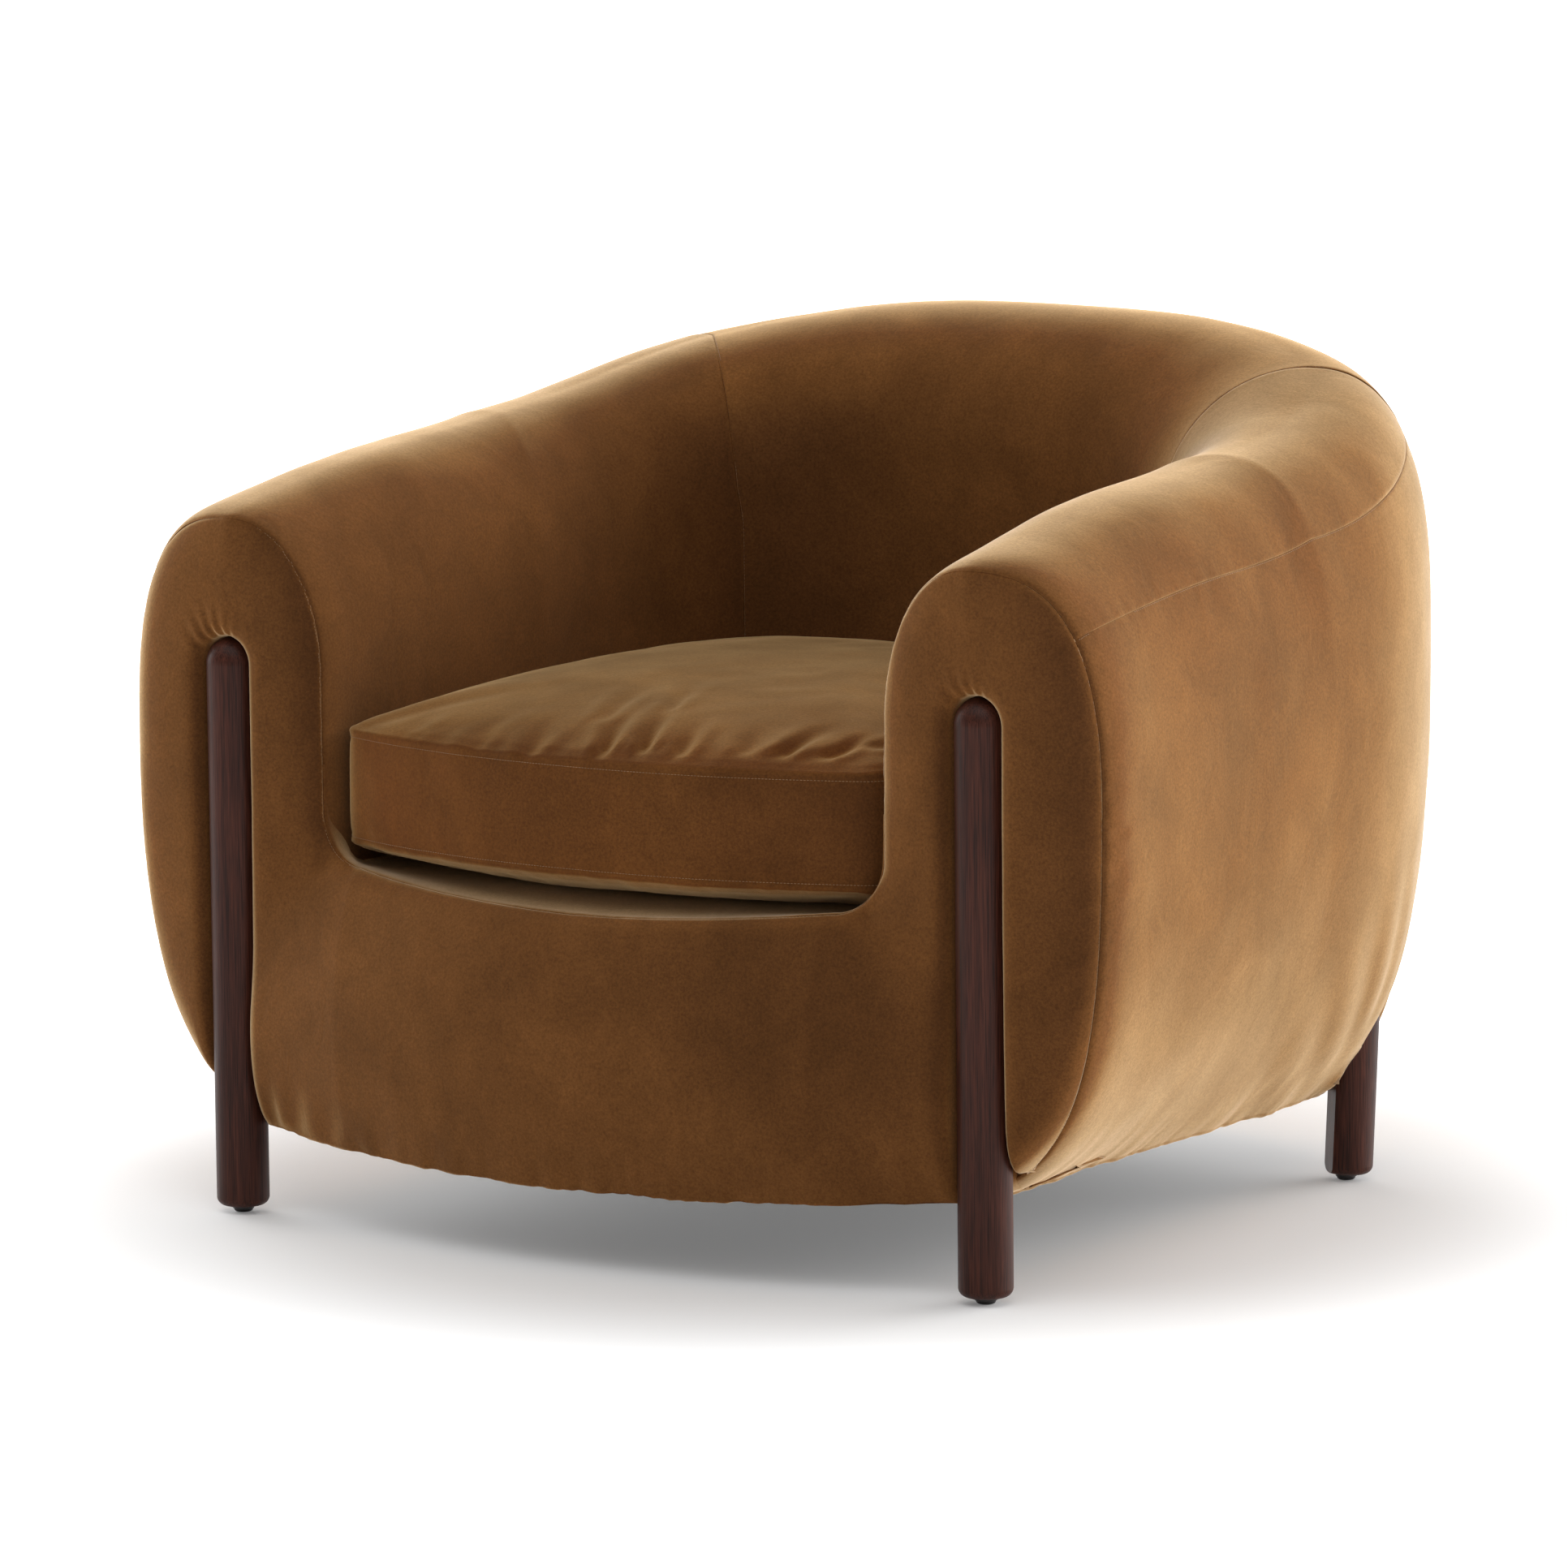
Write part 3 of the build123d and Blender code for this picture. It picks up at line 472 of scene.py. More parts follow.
VELVET = velvet("velvet_golden_brown")
VELVET_SEAT_NAP_AND_SHADE = velvet("velvet_seat_cushion_nap_and_painted_shade", sheen=0.50, tone=(0.98, 0.95, 0.90), rim=(0.76, 0.60, 0.36))      # its pile lies the other way, and it is painted darker with a weaker painted sheen rim, as shade where the back keeps the light off the seat
# painted light: a brighter, paler copy of the velvet for the inside back, standing in for the light that reaches it
VELVET_IN_PAINTED_LIGHT = velvet("velvet_inside_painted_lighter", sheen=0.80, tone=(1.24, 1.30, 1.34), rim=(0.86, 0.74, 0.60))
THREAD = thread_mat("stitch_thread")
POST = wood("post_wood_dark")
FRAME_WOOD = wood("frame_wood_plain", (0.30, 0.19, 0.10), (0.52, 0.37, 0.22), 0.6, 0.0)
BOARD = plain_node_mat("pressed_board", (0.25, 0.17, 0.10), 0.8, 0.0, 220.0)
STEEL = plain_node_mat("zinc_steel", (0.55, 0.55, 0.56), 0.35, 0.9, 500.0, 0.12)
FOAM = plain_node_mat("upholstery_foam", (0.70, 0.66, 0.52), 0.95, 0.0, 400.0, 0.15, 0.0006)
DECK = woven("deck_cloth", (0.045, 0.028, 0.016), 350.0)
DUST = woven("dust_cover_cloth", (0.012, 0.012, 0.012), 420.0)
GLIDE = plain_node_mat("glide_plastic_dark", (0.014, 0.010, 0.010), 0.28, 0.0, 260.0, 0.35, 0.00008)

by_slot = {
    "velvet": VELVET,
    "padding": FOAM,
    "deck_cloth": DECK,
    "dust_cloth": DUST,
    "post_wood": POST,
    "frame_wood": FRAME_WOOD,
    "panel_board": BOARD,
    "steel": STEEL,
    "glide_plastic": GLIDE,
}
slots = {r["node"]: r["material_slot"] for r in frame["record"]["subparts"]}
for node, ob in frame["nodes"].items():
    m = by_slot[slots[node]]
    if ob.material_slots:
        for s in ob.material_slots:
            s.material = m
    else:
        ob.data.materials.append(m)


# ------------------------------------------------------------------ camera, first, so that it is never left out
AZ, EL, ROLL = math.radians(33.5731), math.radians(8.5065), math.radians(-0.5879)
back = Vector((math.sin(AZ) * math.cos(EL), -math.cos(AZ) * math.cos(EL), math.sin(EL)))
right = Vector((math.cos(AZ), math.sin(AZ), 0.0))
up = back.cross(right)
right2 = right * math.cos(ROLL) + up * math.sin(ROLL)
up2 = -right * math.sin(ROLL) + up * math.cos(ROLL)
target = Vector((0.00138, -0.0755, 0.36781))
cam_data = bpy.data.cameras.new("camera")
cam = bpy.data.objects.new("camera", cam_data)
bpy.context.scene.collection.objects.link(cam)
rot = Matrix((right2, up2, back)).transposed()
cam.matrix_world = Matrix.Translation(target + back * 7.63141) @ rot.to_4x4()
cam_data.sensor_fit = "HORIZONTAL"
cam_data.sensor_width = 36.0
cam_data.lens = 10838.76 / 1932 * 36.0
cam_data.clip_end = 100
bpy.context.scene.camera = cam


# ------------------------------------------------------------------ cloth surfaces built in numpy, in mm
from mathutils.bvhtree import BVHTree
from mathutils.kdtree import KDTree

FINE = (0.0, 0.7, 1.5, 2.6, 4.2, 6.6, 10.0)


def cumulative(P):
    d = np.linalg.norm(np.diff(P, axis=0), axis=-1)
    return np.concatenate([[0], np.cumsum(d)])


def steps_between(length, step, fine0=(0.0,), fine1=(0.0,)):
    a = list(fine0)
    b = [length - v for v in fine1][::-1]
    n = max(int(round((b[0] - a[-1]) / step)), 1)
    return np.array(a + list(np.linspace(a[-1], b[0], n + 1)[1:-1]) + b)


def section_rows(s0, t0, t1, step, fine0=FINE, fine1=(0.0,)):
    t = np.linspace(t0, t1, 1600)
    d = cumulative(form(s0, t))
    return np.interp(steps_between(d[-1], step, fine0, fine1), d, t)


def plan_cols(th0, s0, s1, step, fine0=FINE, fine1=(0.0,)):
    s = np.linspace(s0, s1, 1600)
    d = cumulative(form(s, th0))
    return np.interp(steps_between(d[-1], step, fine0, fine1), d, s)


class Sheet:
    """Quad grids welded into one surface. Its points stay in mm until it becomes an object."""

    def __init__(self, grids, out=None, tol=0.02):
        V, F, R, n0 = [], [], [], 0
        for g in grids:
            P = np.asarray(g[0], float)
            nu, nv = P.shape[:2]
            i = np.arange(nu * nv).reshape(nu, nv) + n0
            q = np.stack([i[:-1, :-1], i[1:, :-1], i[1:, 1:], i[:-1, 1:]], -1).reshape(-1, 4)
            # the way out of this grid, by reference directions
            if out is not None or len(g) > 1:
                ref = g[1] if len(g) > 1 else out(P)
                n = np.cross(P[1:, 1:] - P[:-1, :-1], P[:-1, 1:] - P[1:, :-1]).reshape(-1, 3)
                rf = np.broadcast_to(ref, P.shape)[:-1, :-1].reshape(-1, 3)
                if (n * rf).sum() < 0:
                    q = q[:, ::-1]
            F.append(q)
            V.append(P.reshape(-1, 3))
            n0 += nu * nv
        V, F = np.concatenate(V), np.concatenate(F)
        key = np.round(V / tol).astype(np.int64)
        _, first, inv = np.unique(key, axis=0, return_index=True, return_inverse=True)
        inv = np.asarray(inv).reshape(-1)
        self.V, F = V[first], inv[F]
        same = (
            (F[:, 0] == F[:, 1]).astype(int)
            + (F[:, 1] == F[:, 2])
            + (F[:, 2] == F[:, 3])
            + (F[:, 3] == F[:, 0])
        )
        good = F[same == 0]
        tri = []
        for f in F[same == 1]:
            u = [v for k, v in enumerate(f) if v != f[k - 1]]
            if len(set(u)) == 3:
                tri.append(u + [u[-1]])
        self.F = np.concatenate([good, np.array(tri, int).reshape(-1, 4)])

    def normals(self):
        V, F = self.V, self.F
        n = np.cross(V[F[:, 2]] - V[F[:, 0]], V[F[:, 3]] - V[F[:, 1]])
        t = F[:, 3] == F[:, 2]
        N_ = np.zeros_like(V)
        for k in range(4):
            w = n.copy()
            if k == 3:
                w[t] = 0
            np.add.at(N_, F[:, k], w)
        return unit(N_)

    def cut(self, keep_face):
        self.F = self.F[keep_face(self.V[self.F].mean(1))]
        used = np.unique(self.F)
        m = -np.ones(len(self.V), int)
        m[used] = np.arange(len(used))
        self.V, self.F = self.V[used], m[self.F]

    def rim(self):
        """Directed edges that only one face has."""
        F = self.F
        e = []
        for k in range(4):
            a, b = F[:, k], F[:, (k + 1) % 4]
            e.append(np.stack([a, b], 1)[a != b])
        e = np.concatenate(e)
        key = np.sort(e, 1)
        k1 = key[:, 0].astype(np.int64) * (len(self.V) + 1) + key[:, 1]
        u, idx, cnt = np.unique(k1, return_index=True, return_counts=True)
        return e[idx[cnt == 1]]

    def tuck(self, depth=5.0):
        """Turn the open edges inwards, as the seam allowance is."""
        e = self.rim()
        ids = np.unique(e)
        n = self.normals()
        new = self.V[ids] - n[ids] * depth
        m = -np.ones(len(self.V), int)
        m[ids] = len(self.V) + np.arange(len(ids))
        self.V = np.concatenate([self.V, new])
        self.F = np.concatenate([self.F, np.stack([e[:, 1], e[:, 0], m[e[:, 0]], m[e[:, 1]]], 1)])

    def bvh(self):
        polys = [tuple(dict.fromkeys(f)) for f in self.F.tolist()]
        return BVHTree.FromPolygons([tuple(v) for v in self.V.tolist()], polys)

    def to_object(self, name, mat, body="frame", thick=1.4):
        V = to_row(self.V)
        F = [tuple(dict.fromkeys(f)) for f in self.F.tolist()]
        ob = mesh_object(name, V, F, mat, body)
        if thick:
            m = ob.modifiers.new("cloth_thickness", "SOLIDIFY")
            m.thickness = thick / 1000
            m.offset = -1.0
        return ob


class Line:
    """A seam: its points, dense, with their distance along it."""

    def __init__(self, pts, step=1.0):
        d = cumulative(np.asarray(pts, float))
        t = np.arange(0, d[-1], step)
        self.P = np.stack([np.interp(t, d, pts[:, k]) for k in range(3)], 1)
        self.t = t
        self.length = d[-1]
        self.kd = KDTree(len(self.P))
        for i, p in enumerate(self.P):
            self.kd.insert(p, i)
        self.kd.balance()

    def near(self, V, reach=60.0):
        """Distance to the line and place along it, for each point; far points get the reach."""
        lo, hi = self.P.min(0) - reach, self.P.max(0) + reach
        d = np.full(len(V), reach)
        at = np.zeros(len(V))
        for i in np.nonzero(((V > lo) & (V < hi)).all(1))[0]:
            _, j, dist = self.kd.find(V[i])
            d[i] = min(dist, reach)
            at[i] = self.t[j]
        return d, at


_n1 = np.random.default_rng(5).uniform(-1, 1, 4096)


def noise1(t, scale, seed=0):
    x = np.asarray(t) / scale + seed * 91.7 + 1000
    i = np.floor(x).astype(int)
    f = x - i
    f = f * f * (3 - 2 * f)
    return _n1[i & 4095] * (1 - f) + _n1[(i + 1) & 4095] * f


def seam_relief(V, line, depth=1.7, width=2.0, pucker=0.35, reach=9.0, pitch=4.5, seed=0):
    """Narrow valley of a seam, with the small gathers across it."""
    d, at = line.near(V, 40.0)
    h = -depth * np.exp(-((d / width) ** 2)) + 0.35 * depth * np.exp(-(((d - 4.6) / 3.2) ** 2))
    g = noise1(at, pitch, seed) * 0.7 + noise1(at, pitch * 0.45, seed + 3) * 0.4
    return h + pucker * g * np.exp(-d / reach) * (1 - np.exp(-((d / 1.2) ** 2)))


def crease(P2, a, b, depth, width):
    """Height of one fold on a plane: deepest at a, gone at b."""
    a, b = np.array(a, float), np.array(b, float)
    d = b - a
    ln = np.linalg.norm(d)
    d = d / ln
    q = P2 - a
    t = (q @ d) / ln
    c = q @ np.array([-d[1], d[0]])
    taper = ease((t + 0.12) / 0.2) * (1 - ease(t))
    w = width * (1 + 0.7 * np.clip(t, 0, 1))
    return taper * depth * (-np.exp(-((c / w) ** 2)) + 0.65 * np.exp(-(((np.abs(c) - 1.9 * w) / w) ** 2)))


def soft_undulation(V, seed=0, a1=1.2, a2=0.45):
    return a1 * noise3(V, 150.0, seed) + a2 * noise3(V, 48.0, seed + 5)


# ------------------------------------------------------------------ seams
_th = np.linspace(0, 1, 900)
_w = np.linspace(0, 1, 60)[1:]
_arc = np.radians(np.linspace(0, 90, 40))[1:]
_ox = np.linspace(240, 0, 121)[1:]
OPEN_R, OPEN_X, WALL_X, WALL_Y = 45.0, 240.0, 285.0, -1.5


def open_z(x):
    return 302 + 13 * (np.abs(x) / OPEN_X) ** 2


def open_y(x):
    return -50 + 38 * (np.abs(x) / OPEN_X) ** 2


arc_pts = np.stack(
    [
        OPEN_X + OPEN_R * np.cos(_arc),
        WALL_Y + (open_y(OPEN_X) - WALL_Y) * (_arc / (math.pi / 2)) ** 1.5,
        360 - OPEN_R * np.sin(_arc),
    ],
    1,
)
front_seam_r = np.concatenate(
    [
        form(0.0, _th),
        np.stack([np.full(59, WALL_X), np.full(59, WALL_Y), 480 - 120 * _w], 1),
        arc_pts,
        np.stack([_ox, open_y(_ox), open_z(_ox)], 1),
    ]
)
FRONT_SEAM = Line(np.concatenate([front_seam_r, flip_x(front_seam_r)[::-1][1:]]))
_s = np.linspace(0, 1, 1200)
side_r = form(_s, SEAM_TH)
SIDE_SEAM = Line(np.concatenate([side_r, flip_x(side_r)[::-1][1:]]))


def back_seam_s(th):
    """The seam between arm and back: straight over the top, slanting down the inside."""
    return BACK_S0 + (BACK_S1 - BACK_S0) * ease((np.asarray(th, float) - 0.66) / 0.5)


_bt = np.linspace(SEAM_TH, 2.0, 900)
back_r = form(back_seam_s(_bt), _bt)
BACK_SEAM = {1: Line(back_r), -1: Line(flip_x(back_r))}


# ------------------------------------------------------------------ outside cover
def rear_axis(z):
    k = math.tan(math.radians(REAR_LEAN)) * z
    return REAR_X + k * math.cos(math.radians(REAR_AZ)), REAR_Y + k * math.sin(math.radians(REAR_AZ))


E_OUT = np.array([math.cos(math.radians(REAR_AZ)), math.sin(math.radians(REAR_AZ))])
E_LAT = np.array([-E_OUT[1], E_OUT[0]])


def rear_coords(P):
    ax, ay = rear_axis(P[..., 2])
    rx, ry = np.abs(P[..., 0]) - ax, P[..., 1] - ay
    return rx * E_LAT[0] + ry * E_LAT[1], rx * E_OUT[0] + ry * E_OUT[1]


wrap_rows = section_rows(0.35, 0.0, SEAM_TH, 5.0, (0.0, 2.5, 5.0), FINE)
# more rows at the height of the rear posts' tops
_zrow = form(0.72, wrap_rows)[:, 2]
_k = np.nonzero((_zrow > 470) & (_zrow < 540))[0]
_dense = np.linspace(wrap_rows[_k[0]], wrap_rows[_k[-1]], int((_zrow[_k[-1]] - _zrow[_k[0]]) / 1.7))
wrap_rows = np.unique(np.concatenate([wrap_rows[: _k[0]], _dense, wrap_rows[_k[-1] + 1 :]]))

LAT = np.concatenate(
    [
        np.arange(-62, -38, 4.0),
        np.arange(-38, -28, 2.0),
        np.arange(-28, -21, 0.8),
        np.arange(-21, 21.1, 4.2),
        np.arange(21.4, 28, 0.8),
        np.arange(28, 38, 2.0),
        np.arange(38, 63, 4.0),
    ]
)
_sd = np.linspace(0.45, 0.98, 1400)
n_front = int(560 / 5.0)
n_back = int(430 / 5.0)
f_front = steps_between(1.0, 1.0 / n_front, tuple(v / 600 for v in FINE), (0.0,))
f_back = np.linspace(0, 1, n_back)
wrap_half = np.zeros((len(f_front) + len(LAT) + len(f_back), len(wrap_rows), 3))
for j, th in enumerate(wrap_rows):
    Q = form(_sd, th)
    a, _ = rear_coords(Q)
    k = np.argsort(a)
    s_lat = np.interp(LAT, a[k], _sd[k])
    sa = np.linspace(0, s_lat[0], 500)
    da = cumulative(form(sa, th))
    s1 = np.interp(f_front * da[-1], da, sa)[:-1]
    sb = np.linspace(s_lat[-1], 1, 500)
    db = cumulative(form(sb, th))
    s2 = np.interp(f_back * db[-1], db, sb)[1:]
    s_all = np.concatenate([s1, s_lat, s2])
    if j == 0:
        wrap_half = np.zeros((len(s_all), len(wrap_rows), 3))
        wrap_s = np.zeros((len(s_all), len(wrap_rows)))
    wrap_s[:, j] = s_all
    wrap_half[:, j] = form(s_all, th)
wrap = np.concatenate([wrap_half, flip_x(wrap_half)[::-1][1:]], 0)
# hem turned under
hem = wrap[:, 0]
tan = unit(np.gradient(hem, axis=0))
inw = np.cross(np.array([0, 0, 1.0]), tan)
mid_in = np.array([0, 400.0, 81.0]) - hem
inw *= np.sign((inw * mid_in).sum(1, keepdims=True))
down = unit(hem - wrap[:, 1])
roll = []
for ang, r in ((90, 6.0), (66, 6.0), (44, 6.0), (22, 6.0)):
    t = math.radians(ang)
    roll.append(hem + inw * r * (1 - math.sin(t)) * 1.0 + np.array([0, 0, -1.0]) * r * math.cos(t) * 0.55)
roll = roll[1:]
flat_rows = [hem + inw * 8 + np.array([0, 0, -3.2]), hem + inw * 15 + np.array([0, 0, -1.5]), hem + inw * 30 + np.array([0, 0, 3.5])]
under = np.stack((roll + flat_rows)[::-1], 1)
wrap = np.concatenate([under, wrap], 1)
core = np.zeros_like(wrap)
core[..., 0] = 0
core[..., 1] = np.clip(wrap[..., 1], 60, 420)
core[..., 2] = wrap[..., 2]
sheet_wrap = Sheet([(wrap, wrap - core)])
V = sheet_wrap.V
n = sheet_wrap.normals()
h = soft_undulation(V, 1, 1.0, 0.35)
h += seam_relief(V, SIDE_SEAM, 0.6, 1.3, 0.25, 8.0, 4.0, 1)
h += seam_relief(V, FRONT_SEAM, 0.75, 1.3, 0.28, 8.0, 5.0, 2)
d_f, at_f = FRONT_SEAM.near(V, 260.0)
h += 3.2 * np.exp(-((d_f / 85.0) ** 2)) - 7.2 * np.exp(-d_f / 12.0)
zone = np.exp(-(((V[:, 2] - 340) / 170) ** 2)) * (1 - ease(d_f / 46)) * ease(d_f / 6)
rip = noise3(V * np.array([0.35, 0.35, 1.0]), 9.0, 3)
h += 0.85 * rip * zone * (0.6 + 0.8 * (noise3(V, 60.0, 9) > -0.1))
a_lat, b_out = rear_coords(V)
hem_f = np.exp(-np.clip(V[:, 2] - HEM_Z, 0, None) / 26.0)
around = cumulative(np.stack([hem[:, 0], hem[:, 1]], 1))
kd = KDTree(len(hem))
for i, p in enumerate(hem):
    kd.insert((p[0], p[1], 0), i)
kd.balance()
low = np.nonzero(V[:, 2] < 260)[0]
along = np.zeros(len(V))
for i in low:
    along[i] = around[kd.find((V[i, 0], V[i, 1], 0))[1]]
h += hem_f * ease((d_f - 12) / 60) * (1.1 * noise1(along, 17.0, 4) + 0.5 * noise1(along, 7.0, 6))
# fuller where the cover goes round the frame's lower rear corner
h += 5.0 * np.exp(-(((V[:, 1] - 583) / 13) ** 2) - (((V[:, 2] - 93) / 11) ** 2)) * (np.abs(V[:, 0]) > 340)
# long soft folds that run up from the rear post's foot on the side
for k, (y0, z0, y1, z1, dep, wid) in enumerate(
    (
        (548, 120, 470, 330, 2.4, 16),
        (520, 100, 380, 250, 2.0, 18),
        (575, 150, 545, 380, 1.8, 12),
        (430, 100, 330, 200, 1.4, 20),
    )
):
    hh = crease(V[:, [1, 2]], (y0, z0), (y1, z1), dep, wid)
    h += hh * (np.abs(V[:, 0]) > 300) * (1 - ease((V[:, 1] - 575) / 30))
V = V + n * h[:, None]
# grooves of the rear posts
a_lat, b_out = rear_coords(V)
rho = np.sqrt(a_lat**2 + np.clip(V[:, 2] - (POST_TOP - POST_R), 0, None) ** 2)
FLOOR_B, R0, R1, R2 = 3.0, 23.4, 25.6, 36.0
is_rear = (V[:, 1] > 480) & (rho < R2 + 1)
depth = np.clip(b_out - FLOOR_B, 0, None)
lipR = np.minimum(R2 - R1, depth * 0.75)
x_lip = np.clip((R2 - rho) / (R2 - R1), 0, 1)
drop_lip = lipR * (1 - np.sqrt(1 - x_lip**2 * 0.999))
wall_t = np.clip((R1 - rho) / (R1 - R0), 0, 1)
drop = np.where(rho > R1, drop_lip, lipR + (depth - lipR) * wall_t)
drop = np.where(is_rear, drop, 0.0)
sgn = np.sign(V[:, 0])
V[:, 0] -= sgn * drop * E_OUT[0]
V[:, 1] -= drop * E_OUT[1]
sheet_wrap.V = V
sheet_wrap.tuck(5.0)

# ------------------------------------------------------------------ arm covers and inside back
def panel_grid(cols, rows, end_s=None):
    """cols are fractions from 0 to 1 of the way to end_s(th)."""
    P = np.zeros((len(cols), len(rows), 3))
    for j, th in enumerate(rows):
        e = float(end_s(th))
        s = np.linspace(0, e, 900)
        d = cumulative(form(s, th))
        P[:, j] = form(np.interp(cols * d[-1], d, s), th)
    return P


arm_rows = section_rows(0.35, SEAM_TH, 2.0, 5.5, FINE, (0.0,))
len_arm = 900.0
arm_cols = steps_between(1.0, 6.0 / len_arm, tuple(v / len_arm for v in FINE), tuple(v / len_arm for v in FINE))
arm_R = panel_grid(arm_cols, arm_rows, back_seam_s)


def arm_core(P):
    """From the middle of the roll: outwards for every point of the arms and back."""
    c = np.array(P)
    s = np.linspace(0, 1, 400)
    cx, cy = plan(s, *CREST)
    pts = np.stack([cx, cy], 1)
    flat = P.reshape(-1, 3)
    out_ = np.zeros_like(flat)
    for i in range(0, len(flat), 4000):
        q = flat[i : i + 4000]
        d = np.linalg.norm(np.abs(q[:, None, :2] * [1, 1]) - pts[None], axis=2)
        k = d.argmin(1)
        near = pts[k] * np.stack([np.where(q[:, 0] < 0, -1, 1), np.ones(len(q))], 1)
        out_[i : i + 4000, :2] = q[:, :2] - near
        out_[i : i + 4000, 2] = q[:, 2] - 480
    return out_.reshape(P.shape)


sheets_arm = {}
for side, P in ((1, arm_R), (-1, flip_x(arm_R))):
    sh = Sheet([(P, arm_core(P))])
    V, n = sh.V, sh.normals()
    h = soft_undulation(V, 3 + side, 1.0, 0.4)
    h += seam_relief(V, SIDE_SEAM, 0.6, 1.3, 0.25, 8.0, 4.0, 1)
    h += seam_relief(V, FRONT_SEAM, 0.75, 1.3, 0.28, 8.0, 5.0, 2)
    d_f, _ = FRONT_SEAM.near(V, 260.0)
    outer = ease((np.abs(V[:, 0]) - 330) / 90)
    h += outer * (3.2 * np.exp(-((d_f / 85.0) ** 2)) - 7.2 * np.exp(-d_f / 12.0)) + (1 - outer) * (1.2 * np.exp(-((d_f / 60.0) ** 2)) - 3.2 * np.exp(-d_f / 10.0))
    h += seam_relief(V, BACK_SEAM[side], 0.5, 1.3, 0.20, 7.0, 5.0, 5)
    sh.V = V + n * h[:, None]
    sh.tuck(5.0)
    sheets_arm[side] = sh

back_cols = steps_between(1.0, 6.0 / 420, tuple(v / 420 for v in FINE), (0.0,))
back_half = np.zeros((len(back_cols), len(arm_rows), 3))
for j, th in enumerate(arm_rows):
    s = np.linspace(float(back_seam_s(th)), 1, 700)
    d = cumulative(form(s, th))
    back_half[:, j] = form(np.interp(back_cols * d[-1], d, s), th)
back_grid = np.concatenate([back_half, flip_x(back_half)[::-1][1:]], 0)
sheet_back = Sheet([(back_grid, arm_core(back_grid))])
V, n = sheet_back.V, sheet_back.normals()
h = soft_undulation(V, 8, 1.2, 0.4)
h += seam_relief(V, SIDE_SEAM, 0.6, 1.3, 0.25, 8.0, 4.0, 1)
for side in (1, -1):
    h += seam_relief(V, BACK_SEAM[side], 0.5, 1.3, 0.20, 7.0, 5.0, 5)
sheet_back.V = V + n * h[:, None]
sheet_back.tuck(5.0)

# ------------------------------------------------------------------ front panel
K_TOP = POST_TOP - POST_R


def y_nose(a, yb, yk):
    n_, k = 2.9, 0.945
    f = lambda v: (1 - np.clip(v, 0, 1) ** n_) ** (1 / n_)
    return yb + (yk - yb) * (f(np.asarray(a) * k) - f(k)) / (1 - f(k))


def y_k(x):
    return -84 + 65.5 * (np.abs(x) / POST_X) ** 2


def hem_z(x):
    return 69 + 11.5 * (np.abs(x) / 373.0) ** 2


def hem_y(x):
    return -76 + 72 * (np.abs(x) / 373.0) ** 2


def rays(B, Kx, Kz, yk, a):
    """Surface points between the skeleton and the edge, a from 0 to 1 for each ray."""
    K = np.stack([Kx, Kz], 1)
    Bx = B[:, [0, 2]]
    xz = K[:, None] + (Bx - K)[:, None] * a[..., None]
    y = y_nose(a, B[:, 1][:, None], np.asarray(yk)[:, None])
    return np.stack([xz[..., 0], y, xz[..., 1]], -1)


# dense smooth copy of the lower inner part, to take heights from
aa = np.linspace(0, 1, 90)
wall_z = np.linspace(482, 360, 30)
Bw = np.stack([np.full(30, WALL_X), np.full(30, WALL_Y), wall_z], 1)
D1 = rays(Bw, np.full(30, POST_X), wall_z, np.full(30, NOSE_Y), np.broadcast_to(aa, (30, 90)))
Ba = np.concatenate([[[WALL_X, WALL_Y, 360.0]], arc_pts])
la = np.linspace(0, 1, len(Ba)) * (185.0 + 142.0)
Kx = np.where(la < 185, POST_X, POST_X - (la - 185))
Kz = np.where(la < 185, 360 - la, 175.0)
D2 = rays(Ba, Kx, Kz, np.where(la < 185, NOSE_Y, y_k(Kx)), np.broadcast_to(aa, (len(Ba), 90)))
xo = np.linspace(OPEN_X, -12, 90)
Bo = np.stack([xo, open_y(xo), open_z(xo)], 1)
D3 = rays(Bo, xo, np.full(90, 175.0), y_k(xo), np.broadcast_to(aa, (90, 90)))
xl = np.linspace(POST_X + 6, -12, 120)
tt = np.linspace(0, 1, 50)
D4 = np.zeros((120, 50, 3))
D4[..., 0] = xl[:, None]
D4[..., 1] = y_k(xl)[:, None] + (hem_y(xl) - y_k(xl))[:, None] * tt**2
D4[..., 2] = 175 + (hem_z(xl) - 175)[:, None] * tt
smooth_front = Sheet([(g,) for g in (D1, D2, D3, D4)], out=lambda P: np.array([0, -1.0, 0])).bvh()


def front_y(x, z):
    hit = smooth_front.ray_cast(Vector((x, -400, z)), Vector((0, 1, 0)))
    if hit[0] is None:
        hit = smooth_front.find_nearest(Vector((x, -40, z)))
        best = hit[0]
        # nearest in the plane of the picture: search again from the height found
        hit = smooth_front.find_nearest(Vector((x, best.y, z)))
    return hit[0].y


NEAR = np.array([20, 22.4, 23.4, 24.2, 25.0, 26.0, 27.4, 29.2, 31.6, 34.6, 38.6, 45.0])
FAR = np.array(FINE[::-1])
N_MID = 9


def ray_dist(W):
    f = np.clip((W - 20) / 65.0, 0.02, 1)
    near = np.where(W > 26, 20 + (NEAR - 20) * f, W * 0.55 + (NEAR - 20) * W * 0.004)
    far = W - FAR * f
    mid = np.linspace(near[-1], far[0], N_MID + 2)[1:-1]
    return np.concatenate([near, mid, far])


